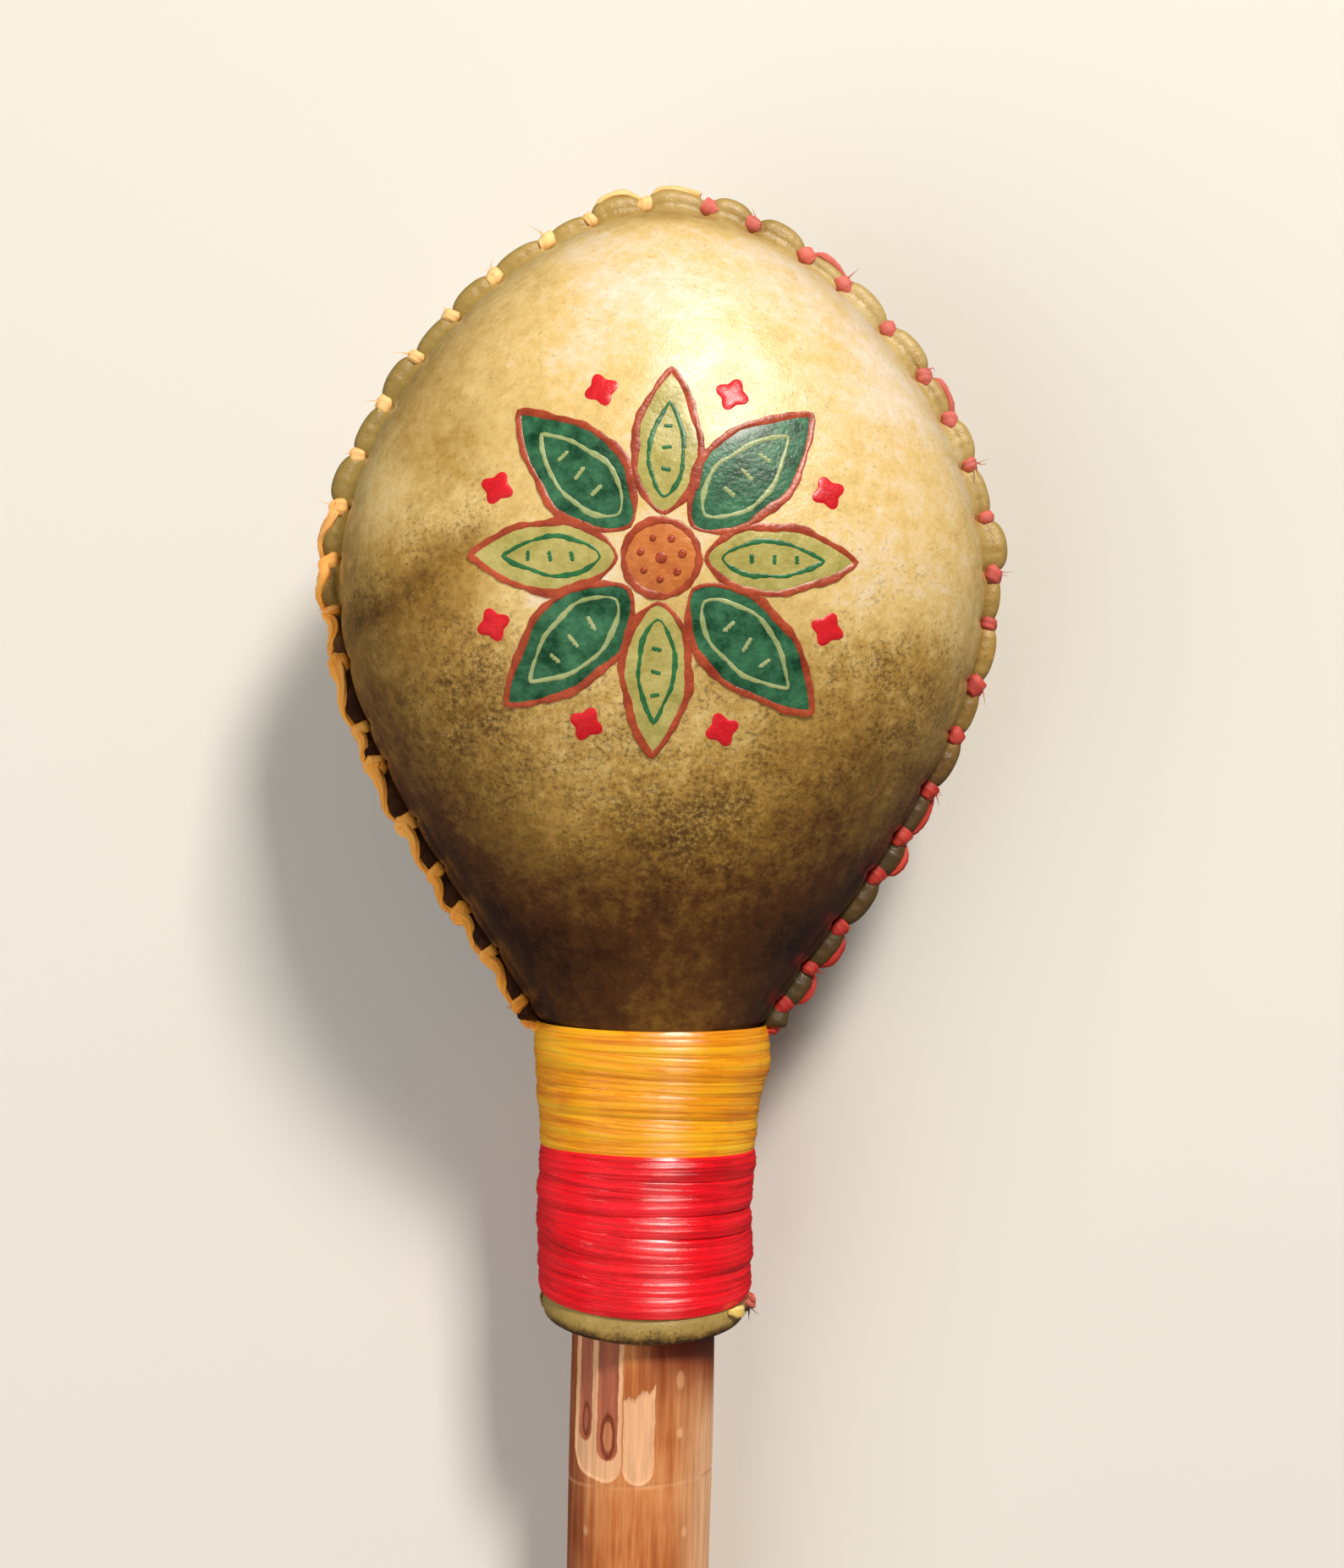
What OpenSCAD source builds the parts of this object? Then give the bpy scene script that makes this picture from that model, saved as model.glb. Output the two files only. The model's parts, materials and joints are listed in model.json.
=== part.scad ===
// Rawhide rattle: two moulded rawhide halves sewn together along a standing edge, bound on to a
// stick with a yellow and a red strip, and holding a handful of loose pebbles.
// Every piece is drawn in the rattle's own frame: x to the right, y along the stick from its tail,
// z towards the front face. lay_down() then lays the rattle on its back on the plane z = 0.

/* [Head] */
// Width of the rawhide head at its widest, without the sewn edge
head_w = 102; // [85:1:125]
// Depth of the head from front to back
head_d = 78; // [62:1:95]
// Height of the crown above the widest place
crown_h = 57; // [48:1:70]
// Height of the taper between the neck and the widest place
cone_h = 72; // [60:1:90]
// Thickness of the rawhide
wall = 2; // [1.4:0.1:2.8]

/* [Sewn edge] */
// Stitches on each side of the head
stitches = 19; // [13:1:21]
// Diameter of the sewing thread
thread_d = 1.1; // [0.8:0.1:1.4]
// Rawhide between the wall of the head and a stitch hole
hole_inset = 0.2; // [0.1:0.1:0.6]
// Rawhide outside a stitch hole
hole_edge = 0.6; // [0.4:0.1:1.2]
// Thickness of each rawhide edge where a stitch draws it in
edge_t = 1.5; // [1.2:0.1:2]
// How much further the edge reaches between two stitches
lobe_swell = 1.2; // [0.4:0.1:1.5]
// How much thicker the edge is between two stitches
lobe_puff = 0.8; // [0.2:0.1:1]

/* [Neck and bindings] */
// Length of the collar that shows below the red binding
collar_lip = 4.3; // [3.6:0.1:8]
// How much lower the collar is cut at the front and back than at its sides
collar_tongue = 3; // [0:0.5:4]
// How far the folded edges thicken the neck at each side
seam_fold = 1.8; // [1:0.1:3]
// How far the neck opens out under the yellow binding
neck_flare = 1.5; // [0.5:0.1:3]
// Turns of the red strip
red_turns = 8; // [4:1:10]
// Width of the red strip
red_strip_w = 2.6; // [2:0.1:4]
// Turns of the yellow strip
yellow_turns = 5; // [3:1:7]
// Width of the yellow strip
yellow_strip_w = 2.8; // [2:0.1:4.5]
// Thickness of both strips
strip_t = 1; // [0.6:0.1:1.4]
// Gap between one turn of a strip and the next
strip_gap = 0.5; // [0.45:0.05:1]

/* [Handle] */
// Diameter of the stick
handle_d = 23; // [18:0.5:28]
// Length of the stick below the collar
handle_out = 113.5; // [80:0.5:150]
// Length of the stick inside the head, past the neck
handle_in = 14; // [6:1:30]
// Chamfer round both ends of the stick
end_chamfer = 1.5; // [0.5:0.1:2.5]
// Distance from the collar down to the ring scored round the stick
score_drop = 22.5; // [15:0.5:30]
// Depth of the scored ring
score_depth = 0.3; // [0.2:0.05:0.5]
// Depth of the knife cuts at the collar
cut_depth = 0.7; // [0.4:0.05:1]

/* [Pebbles] */
// Rows of pebbles along the rattle
pebble_rows = 3; // [1:1:3]
// Pebbles in each row
pebble_columns = 4; // [2:1:4]
// Diameter of a pebble
pebble_d = 8; // [5:0.5:9]
// Thickness of a pebble
pebble_t = 5.5; // [3:0.5:6]

/* [Clearances] */
// Gap round the stick in the neck
stick_fit = 0.3; // [0.2:0.05:0.6]
// Gap between the thread and the rawhide
thread_fit = 0.2; // [0.15:0.05:0.3]
// Gap between a strip and the neck
strip_fit = 0.3; // [0.25:0.05:0.5]
// Gap between the two rawhide halves
joint_gap = 0.1; // [0.05:0.05:0.2]
// Gap round each pebble
pebble_fit = 0.8; // [0.6:0.1:1.2]

/* [Hidden] */
$fn = 96;
rawhide_colour = "#a08a52";
yellow_colour = "#e8a02a";
red_colour = "#d8202c";
wood_colour = "#9a5c3c";
pebble_colour = "#8d8a83";

// Pebbles and node names
pebble_count = pebble_rows * pebble_columns;
function pebble_name(i) = str("pebble_", i < 10 ? "0" : "", i);

// Sections of the stick and the neck
handle_r = handle_d / 2;
bore_r = handle_r + stick_fit;
collar_half_d = bore_r + wall;
collar_half_w = collar_half_d + seam_fold;

// Heights along the stick, from its tail
red_pitch = red_strip_w + strip_gap;
yellow_pitch = yellow_strip_w + strip_gap;
red_y = handle_out + collar_lip;
yellow_y = red_y + red_turns * red_pitch; // the yellow strip starts where the red one ends
neck_y = yellow_y + yellow_turns * yellow_pitch + yellow_strip_w + strip_gap;
widest_y = neck_y + cone_h;
crown_y = widest_y + crown_h;
handle_len = neck_y + handle_in;

// Sewn edge: hole_n and the edge widths are measured outwards from the wall of the head
thread_r = thread_d / 2;
hole_sides = 8;
hole_r = (thread_r + thread_fit) / cos(180 / hole_sides);
hole_n = hole_inset + hole_r;
valley_w = hole_n + hole_r + hole_edge;
lobe_w = valley_w + lobe_swell;
edge_bevel = 0.8; // share of the edge's width that is flat on top
neck_ridge = 0.4; // what shows of the edge under the bindings

// Profile of the head: the taper follows a power of a cosine, the crown a superellipse
taper_power = 1.1;
crown_power = 1.7;

// How far the neck has opened out at height y
function flare(y) = lookup(y, [[yellow_y, 0], [neck_y, neck_flare]]);

// How much higher the neck's rings sit at the sides than at the front, at height y
function side_lift(y) = lookup(y, [[handle_out, collar_tongue], [neck_y, 0]]);

// Half width or half depth of the rawhide at height y, up to the widest place
function half(y, collar, widest) =
    y <= neck_y ? collar + flare(y)
    : let (top = collar + neck_flare, rise = cos(90 * (1 - (y - neck_y) / cone_h)))
      top + (widest - top) * pow(max(rise, 0), taper_power);
function outer_half_w(y) = half(y, collar_half_w, head_w / 2);
function outer_half_d(y) = half(y, collar_half_d, head_d / 2);
function inner_half_w(y) = half(y, bore_r, head_w / 2 - wall);
function inner_half_d(y) = half(y, bore_r, head_d / 2 - wall);

// Distance from the widest place to the crown's outline in direction a
function crown_r(a, half_w, height) =
    pow(pow(abs(cos(a)) / half_w, crown_power) + pow(abs(sin(a)) / height, crown_power), -1 / crown_power);
function crown_point(a, inset) =
    [0, widest_y] + crown_r(a, head_w / 2 - inset, crown_h - inset) * [cos(a), sin(a)];

// Line of the seam up the right side, from the neck to the crown, by its length
seam_steps = 40;
seam_points = [
    for (i = [0:seam_steps]) let (y = neck_y + cone_h * i / seam_steps) [outer_half_w(y), y],
    for (i = [1:seam_steps]) crown_point(90 * i / seam_steps, 0)
];
seam_lengths = [
    for (i = 0, s = 0; i < len(seam_points);
        i = i + 1, s = s + (i < len(seam_points) ? norm(seam_points[i] - seam_points[i - 1]) : 0)) s
];
seam_length = seam_lengths[len(seam_lengths) - 1];
seam_x = [for (i = [0:len(seam_points) - 1]) [seam_lengths[i], seam_points[i].x]];
seam_y = [for (i = [0:len(seam_points) - 1]) [seam_lengths[i], seam_points[i].y]];
stitch_pitch = seam_length / stitches;

// Point of the seam at length s, which runs over the crown and down the other side
function seam_at(s) =
    s <= seam_length ? [lookup(s, seam_x), lookup(s, seam_y)]
    : [-lookup(2 * seam_length - s, seam_x), lookup(2 * seam_length - s, seam_y)];
function seam_normal(s) =
    let (step = 0.5, d = seam_at(s + step) - seam_at(s - step)) [d.y, -d.x] / norm(d);
function stitch_s(j) = (j + 0.5) * stitch_pitch;

// Rawhide halves: rows of points run across the rawhide from the sewn edge to the front's centre line
dome_steps = 6;
rows_per_stitch = 3;
neck_rows = [handle_out, red_y, yellow_y, neck_y];
side_rows = len(neck_rows) + rows_per_stitch * stitches;
row_count = 2 * side_rows;
row_size = 2 + 2 * dome_steps;

// One row's place: seam point, inner seam point, outward normal, centre line height, outer and inner
// dome height, width and thickness of the edge, and how far the row is lifted at the side
function neck_station(y) =
    [[outer_half_w(y), y], [inner_half_w(y), y], [1, 0], y,
     outer_half_d(y), inner_half_d(y), neck_ridge, edge_t, side_lift(y)];
function head_station(k) =
    let (
        s = (k + 0.5) * stitch_pitch / rows_per_stitch,
        p = seam_at(s),
        above = p.y >= widest_y,
        inner = above ? crown_point(atan2(p.y - widest_y, p.x), wall) : [inner_half_w(p.y), p.y],
        centre_y = above ? widest_y : p.y,
        sewn = k % rows_per_stitch == 1
    )
    [p, inner, seam_normal(s), centre_y, outer_half_d(centre_y), inner_half_d(centre_y),
     sewn ? valley_w : lobe_w, sewn ? edge_t : edge_t + lobe_puff, 0];
stations = [
    for (y = neck_rows) neck_station(y),
    for (k = [0:rows_per_stitch * stitches - 1]) head_station(k)
];

// Rows run up the right side and down the left
function station_of(r) = r < side_rows ? r : row_count - 1 - r;
function dome_point(p, centre_y, height, lift, b) =
    [p.x * cos(b), centre_y + (p.y - centre_y) * cos(b) + lift * (1 - sin(b)), height * sin(b)];
function on_side(r, p) = [r < side_rows ? p.x : -p.x, p.y, p.z];
function row_points(r) =
    let (
        st = stations[station_of(r)],
        p = st[0], inner = st[1], n = st[2], centre_y = st[3],
        height = st[4], inner_height = st[5], w = st[6], t = st[7], lift = st[8],
        base = asin(t / height),
        edge = p + w * n,
        shoulder = p + edge_bevel * w * n
    )
    [
        on_side(r, [edge.x, edge.y + lift, joint_gap / 2]),
        on_side(r, [shoulder.x, shoulder.y + lift, t]),
        for (k = [0:dome_steps - 1])
            on_side(r, dome_point(p, centre_y, height, lift, base + (90 - base) * k / dome_steps)),
        for (k = [0:dome_steps - 1])
            let (q = dome_point(inner, centre_y, inner_height, lift, 90 * k / dome_steps))
                on_side(r, [q.x, q.y, max(q.z, joint_gap / 2)])
    ];

// Rows of the crown share one point at the apex of the dome
apex_station = min([for (i = [0:side_rows - 1]) if (stations[i][0].y >= widest_y) i]);
function spine(r) = row_count * row_size + 2 * min(station_of(r), apex_station);
function outer_id(r, k) = k == dome_steps + 2 ? spine(r) : r * row_size + k;
function inner_id(r, k) = k == dome_steps ? spine(r) + 1 : r * row_size + 2 + dome_steps + k;
function quad(a, b, c, d) = [if (a != b) [a, b, c], if (c != d) [a, c, d]];

shell_points = [
    for (r = [0:row_count - 1]) each row_points(r),
    for (i = [0:apex_station]) each [[0, stations[i][3], stations[i][4]], [0, stations[i][3], stations[i][5]]]
];
shell_faces = [
    for (r = [0:row_count - 2]) each [
        for (k = [0:dome_steps + 1])
            each quad(outer_id(r, k), outer_id(r + 1, k), outer_id(r + 1, k + 1), outer_id(r, k + 1)),
        for (k = [0:dome_steps - 1])
            each quad(inner_id(r + 1, k), inner_id(r, k), inner_id(r, k + 1), inner_id(r + 1, k + 1)),
        each quad(outer_id(r + 1, 0), outer_id(r, 0), inner_id(r, 0), inner_id(r + 1, 0))
    ],
    each collar_end(0, false),
    each collar_end(row_count - 1, true)
];
function collar_end(r, turned) =
    let (
        strip = [
            each quad(outer_id(r, 0), outer_id(r, 1), outer_id(r, 2), inner_id(r, 0)),
            for (k = [0:dome_steps - 1])
                each quad(outer_id(r, k + 2), outer_id(r, k + 3), inner_id(r, k + 1), inner_id(r, k))
        ]
    )
    [for (f = strip) turned ? [f[2], f[1], f[0]] : f];

// Rest on the back: the line from the stick's tail that just touches the back of the head
back_profile = [
    for (i = [0:seam_steps]) let (y = neck_y + cone_h * i / seam_steps) [y, outer_half_d(y)],
    for (b = [0:1:45]) [widest_y + crown_h * sin(b), head_d / 2 * cos(b)]
];
rest_tilt = max([for (p = back_profile) atan2(p.y - handle_r, p.x - end_chamfer)]);
tip_y = crown_y + lobe_w + thread_fit + thread_d;
lay_y = ((handle_r - end_chamfer) * sin(rest_tilt) - tip_y * cos(rest_tilt)) / 2;
lay_z = handle_r * cos(rest_tilt) - end_chamfer * sin(rest_tilt);
module lay_down() {
    translate([0, lay_y, lay_z]) rotate([rest_tilt, 0, 0]) children();
}

// A closed tube through a list of rings of points
module skin(rings) {
    sides = len(rings[0]);
    last = (len(rings) - 1) * sides;
    polyhedron(
        points = [for (ring = rings) each ring],
        faces = [
            for (i = [0:len(rings) - 2], k = [0:sides - 1])
                let (a = i * sides + k, b = i * sides + (k + 1) % sides)
                    each quad(a, b, b + sides, a + sides),
            for (k = [1:sides - 2]) [0, k + 1, k],
            for (k = [1:sides - 2]) [last, last + k, last + k + 1]
        ]
    );
}

// Stitching: the thread runs along the edge and at each stitch goes once round it, through the hole
thread_sides = 6;
loop_steps = 8;
loop_half = thread_d / 2 + 0.45; // half the gap between the two ends of a loop, along the seam
loop_top = edge_t + thread_r + thread_fit;
loop_out = valley_w + lobe_swell * rows_per_stitch * loop_half / stitch_pitch + thread_r + thread_fit;
run_n = lobe_w + thread_r + thread_fit;
function squared(c) = sign(c) * sqrt(abs(c));

// Places along the thread as seam length, distance from the wall and height over the seam's plane
function loop_places(s) = [
    for (i = [0:loop_steps])
        let (a = 360 * i / loop_steps, along = (a - 180) / 180)
            [s + loop_half * pow(along, 3),
             (hole_n + loop_out) / 2 + (loop_out - hole_n) / 2 * squared(cos(a)),
             loop_top * squared(sin(a))]
];
function thread_places(finish) = [
    [0.1 * stitch_pitch, run_n, 0],
    for (j = [0:stitches - 1]) each [
        [stitch_s(j) - stitch_pitch / rows_per_stitch, run_n, 0],
        each loop_places(stitch_s(j)),
        if (j < stitches - 1) [stitch_s(j) + stitch_pitch / rows_per_stitch, run_n, 0]
    ],
    each finish
];
function thread_point(place) =
    let (p = seam_at(place[0]) + place[1] * seam_normal(place[0])) [p.x, p.y, place[2]];

// Rings square to a path, each turned as little as possible from the one before
function unit(v) = v / norm(v);
function path_direction(path, i) =
    unit(path[min(i + 1, len(path) - 1)] - path[max(i - 1, 0)]);
function square_to(v, d) = unit(v - (v * d) * d);
function round_rings(path, r, sides) = [
    for (i = 0, u = square_to([0, 0, 1], path_direction(path, 0)); i < len(path);
        i = i + 1, u = i < len(path) ? square_to(u, path_direction(path, i)) : u)
        let (v = cross(path_direction(path, i), u))
            [for (k = [0:sides - 1]) path[i] + r * (cos(360 * k / sides) * u + sin(360 * k / sides) * v)]
];
function least_gap(path, thick, skip) =
    min([for (i = [0:len(path) - 1 - skip], j = [i + skip:len(path) - 1]) norm(path[i] - path[j])]) - thick;

module thread(finish, name) {
    path = [for (p = thread_places(finish)) thread_point(p)];
    gap_skip = loop_steps / 2;
    echo(str(name, " least gap"), least_gap(path, thread_d, gap_skip));
    skin(round_rings(path, thread_r, thread_sides));
}

// The yellow thread runs on over the crown, and the red one ends after its last stitch
yellow_finish = [
    [seam_length - stitch_pitch / 6, run_n, 0],
    [seam_length + stitch_pitch / 6, run_n, 0],
    [seam_length + 0.28 * stitch_pitch, run_n, 0]
];
red_finish = [[stitch_s(stitches - 1) + loop_half + thread_r, loop_out, 0]];

// Bindings: a flat strip wound up the neck, its section given as height and distance out
turn_steps = 24;
function strip_section(w) = [
    for (p = [[-0.5, 0], [-0.3, 0.5], [0.3, 0.5], [0.5, 0], [0.3, -0.5], [-0.3, -0.5]]) [p.x * w, p.y * strip_t]
];
strip_out = strip_fit + strip_t / 2;
join_angle = 180 / PI * (2 * strip_t + 2 * strip_gap) / collar_half_w;
function strip_point(y, a, out) =
    [(outer_half_w(y) + neck_ridge + out) * cos(a), y + side_lift(y) * (1 - abs(sin(a))),
     (outer_half_d(y) + out) * sin(a)];
function strip_ring(y, a, w) = [for (q = strip_section(w)) strip_point(y + q.x, a, strip_out + q.y)];
function moved(ring, by) = [for (p = ring) p + by];
function strip_rings(bottom, turns, w, start) =
    let (
        pitch = w + strip_gap,
        steps = turns * turn_steps,
        wound = [
            for (i = [0:steps])
                strip_ring(bottom + w / 2 + pitch * i / turn_steps, start + 360 * i / turn_steps, w)
        ],
        first = unit(wound[0][0] - wound[1][0]),
        last = unit(wound[steps][0] - wound[steps - 1][0])
    )
    [moved(wound[0], strip_t * first), each wound, moved(wound[steps], strip_t * last)];

module binding(bottom, turns, w, start, name) {
    rings = strip_rings(bottom, turns, w, start);
    upper = 3;
    lower = 0;
    wound = len(rings) - 2;
    echo(str(name, " least gap"),
        min([for (i = [1:wound - turn_steps]) norm(rings[i + turn_steps][lower] - rings[i][upper])]));
    skin(rings);
}

// Thread ends at the collar
tail_w = 2.4;
tail_angles = [24, 29, 34, 39];
knot_r = 0.75;
knot_ring_r = 1;
knot_y = handle_out + collar_tongue + knot_ring_r + knot_r;

// Stick: flat knife cuts run out below the collar, and a scored ring stops them
cut_angles = [-35, 2];
cut_shares = [1, 0.55]; // depth of each cut as a share of the deepest
cut_hidden = 6; // how far the cuts start inside the collar
score_y = handle_out - score_drop;

// Pebbles: each lies on the rear half where the rattle rests, and flies to the front half
pebble_r = pebble_t / 2;
pebble_ring_r = (pebble_d - pebble_t) / 2;
pebble_pitch = pebble_d + pebble_fit;
inner_crown = crown_h - wall;
inner_depth = head_d / 2 - wall;
rest_rise = inner_crown * tan(rest_tilt);
rest_y = widest_y + inner_crown * rest_rise / norm([inner_depth, rest_rise]);
function pebble_lane(i) =
    let (row = floor((i - 1) / pebble_columns), column = (i - 1) % pebble_columns)
        [(column - (pebble_columns - 1) / 2 + (row % 2 == 1 ? 0.25 : -0.25)) * pebble_pitch,
         rest_y + (row - (pebble_rows - 1) / 2) * pebble_pitch * sin(60)];
function inner_depth_at(p) =
    p.y <= widest_y ? inner_half_d(p.y) * sqrt(1 - pow(p.x / inner_half_w(p.y), 2))
    : let (d = [abs(p.x), p.y - widest_y], r = crown_r(atan2(d.y, d.x), head_w / 2 - wall, inner_crown))
      inner_depth * sqrt(1 - pow(norm(d) / r, 2));
function slope_at(p) =
    let (step = 0.5)
        norm([inner_depth_at(p + [step, 0]) - inner_depth_at(p - [step, 0]),
              inner_depth_at(p + [0, step]) - inner_depth_at(p - [0, step])]) / (2 * step);
function pebble_depth(i) =
    min([for (a = [0:30:330])
        let (p = pebble_lane(i) + pebble_ring_r * [cos(a), sin(a)])
            inner_depth_at(p) - (pebble_r + pebble_fit) * norm([1, slope_at(p)])]);

module half_shell() {
    difference() {
        polyhedron(points = shell_points, faces = shell_faces);
        for (j = [0:stitches - 1], side = [-1, 1]) {
            p = seam_at(stitch_s(j)) + hole_n * seam_normal(stitch_s(j));
            translate([side * p.x, p.y, -edge_t])
                rotate(180 / hole_sides) cylinder(r = hole_r, h = 3 * edge_t, $fn = hole_sides);
        }
    }
}

module front_shell() {
    color(rawhide_colour) lay_down() half_shell();
}

module rear_shell() {
    color(rawhide_colour) lay_down() mirror([0, 0, 1]) half_shell();
}

module yellow_stitching() {
    color(yellow_colour) lay_down() mirror([1, 0, 0]) thread(yellow_finish, "yellow_stitching");
}

module red_stitching() {
    color(red_colour) lay_down() thread(red_finish, "red_stitching");
}

module yellow_binding() {
    color(yellow_colour) lay_down() binding(yellow_y, yellow_turns, yellow_strip_w, join_angle, "yellow_binding");
}

module red_binding() {
    color(red_colour) lay_down() binding(red_y, red_turns, red_strip_w, 0, "red_binding");
}

module yellow_thread_tail() {
    y = red_y - strip_gap - tail_w / 2;
    color(yellow_colour) lay_down() skin([for (a = tail_angles) strip_ring(y, a, tail_w)]);
}

module red_thread_knot() {
    x = outer_half_w(knot_y) + neck_ridge + strip_fit + knot_r;
    color(red_colour) lay_down()
        translate([x, knot_y, 0]) rotate([0, 90, 0])
            rotate_extrude() translate([knot_ring_r, 0]) circle(knot_r);
}

module knife_cut(angle, depth) {
    length = cut_hidden + score_drop;
    slope = atan2(depth, score_drop);
    rotate([0, angle, 0]) translate([0, score_y, handle_r]) rotate([-slope, 0, 0])
        translate([-handle_r, 0, 0]) cube([handle_d, length, handle_r]);
}

module handle() {
    outline = [
        [0, 0], [handle_r - end_chamfer, 0], [handle_r, end_chamfer],
        [handle_r, score_y - score_depth], [handle_r - score_depth, score_y],
        [handle_r, score_y + score_depth],
        [handle_r, handle_len - end_chamfer], [handle_r - end_chamfer, handle_len], [0, handle_len]
    ];
    color(wood_colour) lay_down() difference() {
        rotate([-90, 0, 0]) rotate_extrude() polygon(outline);
        for (i = [0:len(cut_angles) - 1]) knife_cut(cut_angles[i], cut_depth * cut_shares[i]);
    }
}

module pebble(i) {
    p = pebble_lane(i);
    color(pebble_colour) lay_down() translate([p.x, p.y, -pebble_depth(i)])
        rotate_extrude() union() {
            translate([0, -pebble_r]) square([pebble_ring_r, pebble_t]);
            translate([pebble_ring_r, 0]) intersection() {
                circle(pebble_r);
                translate([0, -pebble_r]) square([pebble_r, pebble_t]);
            }
        }
}

front_shell();
rear_shell();
yellow_stitching();
red_stitching();
yellow_binding();
red_binding();
yellow_thread_tail();
red_thread_knot();
handle();
for (i = [1:pebble_count])
    pebble(i);
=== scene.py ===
"""Looks of the rawhide rattle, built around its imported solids.

Shapes are worked out in millimetres in the rattle's own frame: x to the right, y along the stick from its
tail, z out of the front face. place() then turns them into the frame's metres.
"""
import json
from functools import partial

import bmesh
import bpy
import numpy as np
from mathutils import Matrix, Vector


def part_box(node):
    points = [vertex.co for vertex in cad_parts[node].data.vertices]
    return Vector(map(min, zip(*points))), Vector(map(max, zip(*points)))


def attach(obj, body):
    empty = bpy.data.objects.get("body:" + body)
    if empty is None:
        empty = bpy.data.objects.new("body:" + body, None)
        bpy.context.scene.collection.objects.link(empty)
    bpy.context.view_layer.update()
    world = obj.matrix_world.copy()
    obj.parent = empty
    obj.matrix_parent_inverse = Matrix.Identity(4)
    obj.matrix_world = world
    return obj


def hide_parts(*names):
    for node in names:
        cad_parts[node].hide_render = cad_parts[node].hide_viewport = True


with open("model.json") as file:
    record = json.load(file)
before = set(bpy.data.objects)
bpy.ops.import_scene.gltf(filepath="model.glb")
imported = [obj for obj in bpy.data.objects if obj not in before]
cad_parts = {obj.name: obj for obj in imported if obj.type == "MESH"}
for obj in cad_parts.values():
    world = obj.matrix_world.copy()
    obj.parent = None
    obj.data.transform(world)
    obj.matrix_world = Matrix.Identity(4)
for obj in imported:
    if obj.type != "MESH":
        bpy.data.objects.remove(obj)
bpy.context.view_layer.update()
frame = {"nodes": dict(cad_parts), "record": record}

# The rattle's own frame, from the flat tail of its stick
MM = 0.001
mounts = {mount["name"]: mount for mount in frame["record"]["mounts"]}
TAIL = np.array(mounts["tail_face"]["pos_m"])
ALONG = -np.array(mounts["tail_face"]["axis"])
ACROSS = np.array((1.0, 0.0, 0.0))
OUT = np.cross(ACROSS, ALONG)
AXES = np.stack((ACROSS, ALONG, OUT))
BODY = "rattle"
rng = np.random.default_rng(7)

# Sizes shared with the solids, in mm
HEAD_W, HEAD_D, CROWN_H, CONE_H, WALL = 102.0, 78.0, 57.0, 72.0, 2.0
HANDLE_R, HANDLE_OUT, HANDLE_IN, END_CHAMFER, BORE_PLAY = 11.5, 113.5, 14.0, 1.5, 0.3
COLLAR_LIP, COLLAR_TONGUE, SEAM_FOLD, NECK_FLARE = 4.3, 3.0, 1.8, 1.5
RED_H, YELLOW_H, SCORE_DROP = 24.8, 19.8, 22.5
STITCHES, TAPER_POWER, CROWN_POWER = 19, 1.1, 1.7
BORE_R = HANDLE_R + BORE_PLAY
RED_Y = HANDLE_OUT + COLLAR_LIP
YELLOW_Y = RED_Y + RED_H
NECK_Y = YELLOW_Y + YELLOW_H
WIDEST_Y = NECK_Y + CONE_H
CROWN_Y = WIDEST_Y + CROWN_H
HANDLE_LENGTH = NECK_Y + HANDLE_IN
SCORE_Y = HANDLE_OUT - SCORE_DROP


def place(points):
    """Own-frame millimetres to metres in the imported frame: tail plus each coordinate along its axis."""
    return TAIL + MM * (np.asarray(points) @ AXES)


def unplace(points):
    """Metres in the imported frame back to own-frame millimetres."""
    return (points - TAIL) @ AXES.T / MM


def join(*coordinates):
    """Coordinates broadcast to one shape and set side by side on a last axis."""
    return np.stack(np.broadcast_arrays(*coordinates), axis=-1)


def unit(vectors):
    """Vectors divided by their lengths."""
    return vectors / np.linalg.norm(vectors, axis=-1, keepdims=True)


def signed_power(value, power):
    """A power of a value's size, with the value's sign."""
    return np.sign(value) * np.abs(value) ** power


def smoothstep(low, high, value):
    """0 below low, 1 above high, and the cubic 3t^2 - 2t^3 between them."""
    t = np.clip((value - low) / (high - low), 0.0, 1.0)
    return t * t * (3 - 2 * t)


def bell(value, width):
    """A soft peak at 0: a Gaussian of that width."""
    return np.exp(-(value / width) ** 2)


def blob(x, y, centre, radius):
    """A soft round patch: a Gaussian of that radius about a centre."""
    return np.exp(-((x - centre[0]) ** 2 + (y - centre[1]) ** 2) / radius ** 2)


def streak(x, y, start, end, width):
    """A soft stroke: a Gaussian across the straight line between two points, faded out past its ends."""
    along = np.subtract(end, start)
    length = np.hypot(*along)
    t = ((x - start[0]) * along[0] + (y - start[1]) * along[1]) / length
    off = ((x - start[0]) * along[1] - (y - start[1]) * along[0]) / length
    past = np.maximum(np.maximum(-t, t - length), 0)
    return bell(off, width) * bell(past, width)


def total(mark, x, y, rows):
    """The sum of soft marks of one kind, each row giving its amount, its place and its width."""
    return sum(amount * mark(x, y, *where) for amount, *where in rows)


# Meshes

WELD_M = 2e-6               # points nearer than this, in metres, become one
STRANDS, TWIST = 6, 0.7     # ripples round a thread, and how they turn in radians per mm


def put(name, data):
    """A new object in the scene, at the origin."""
    thing = bpy.data.objects.new(name, data)
    bpy.context.scene.collection.objects.link(thing)
    return thing


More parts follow.
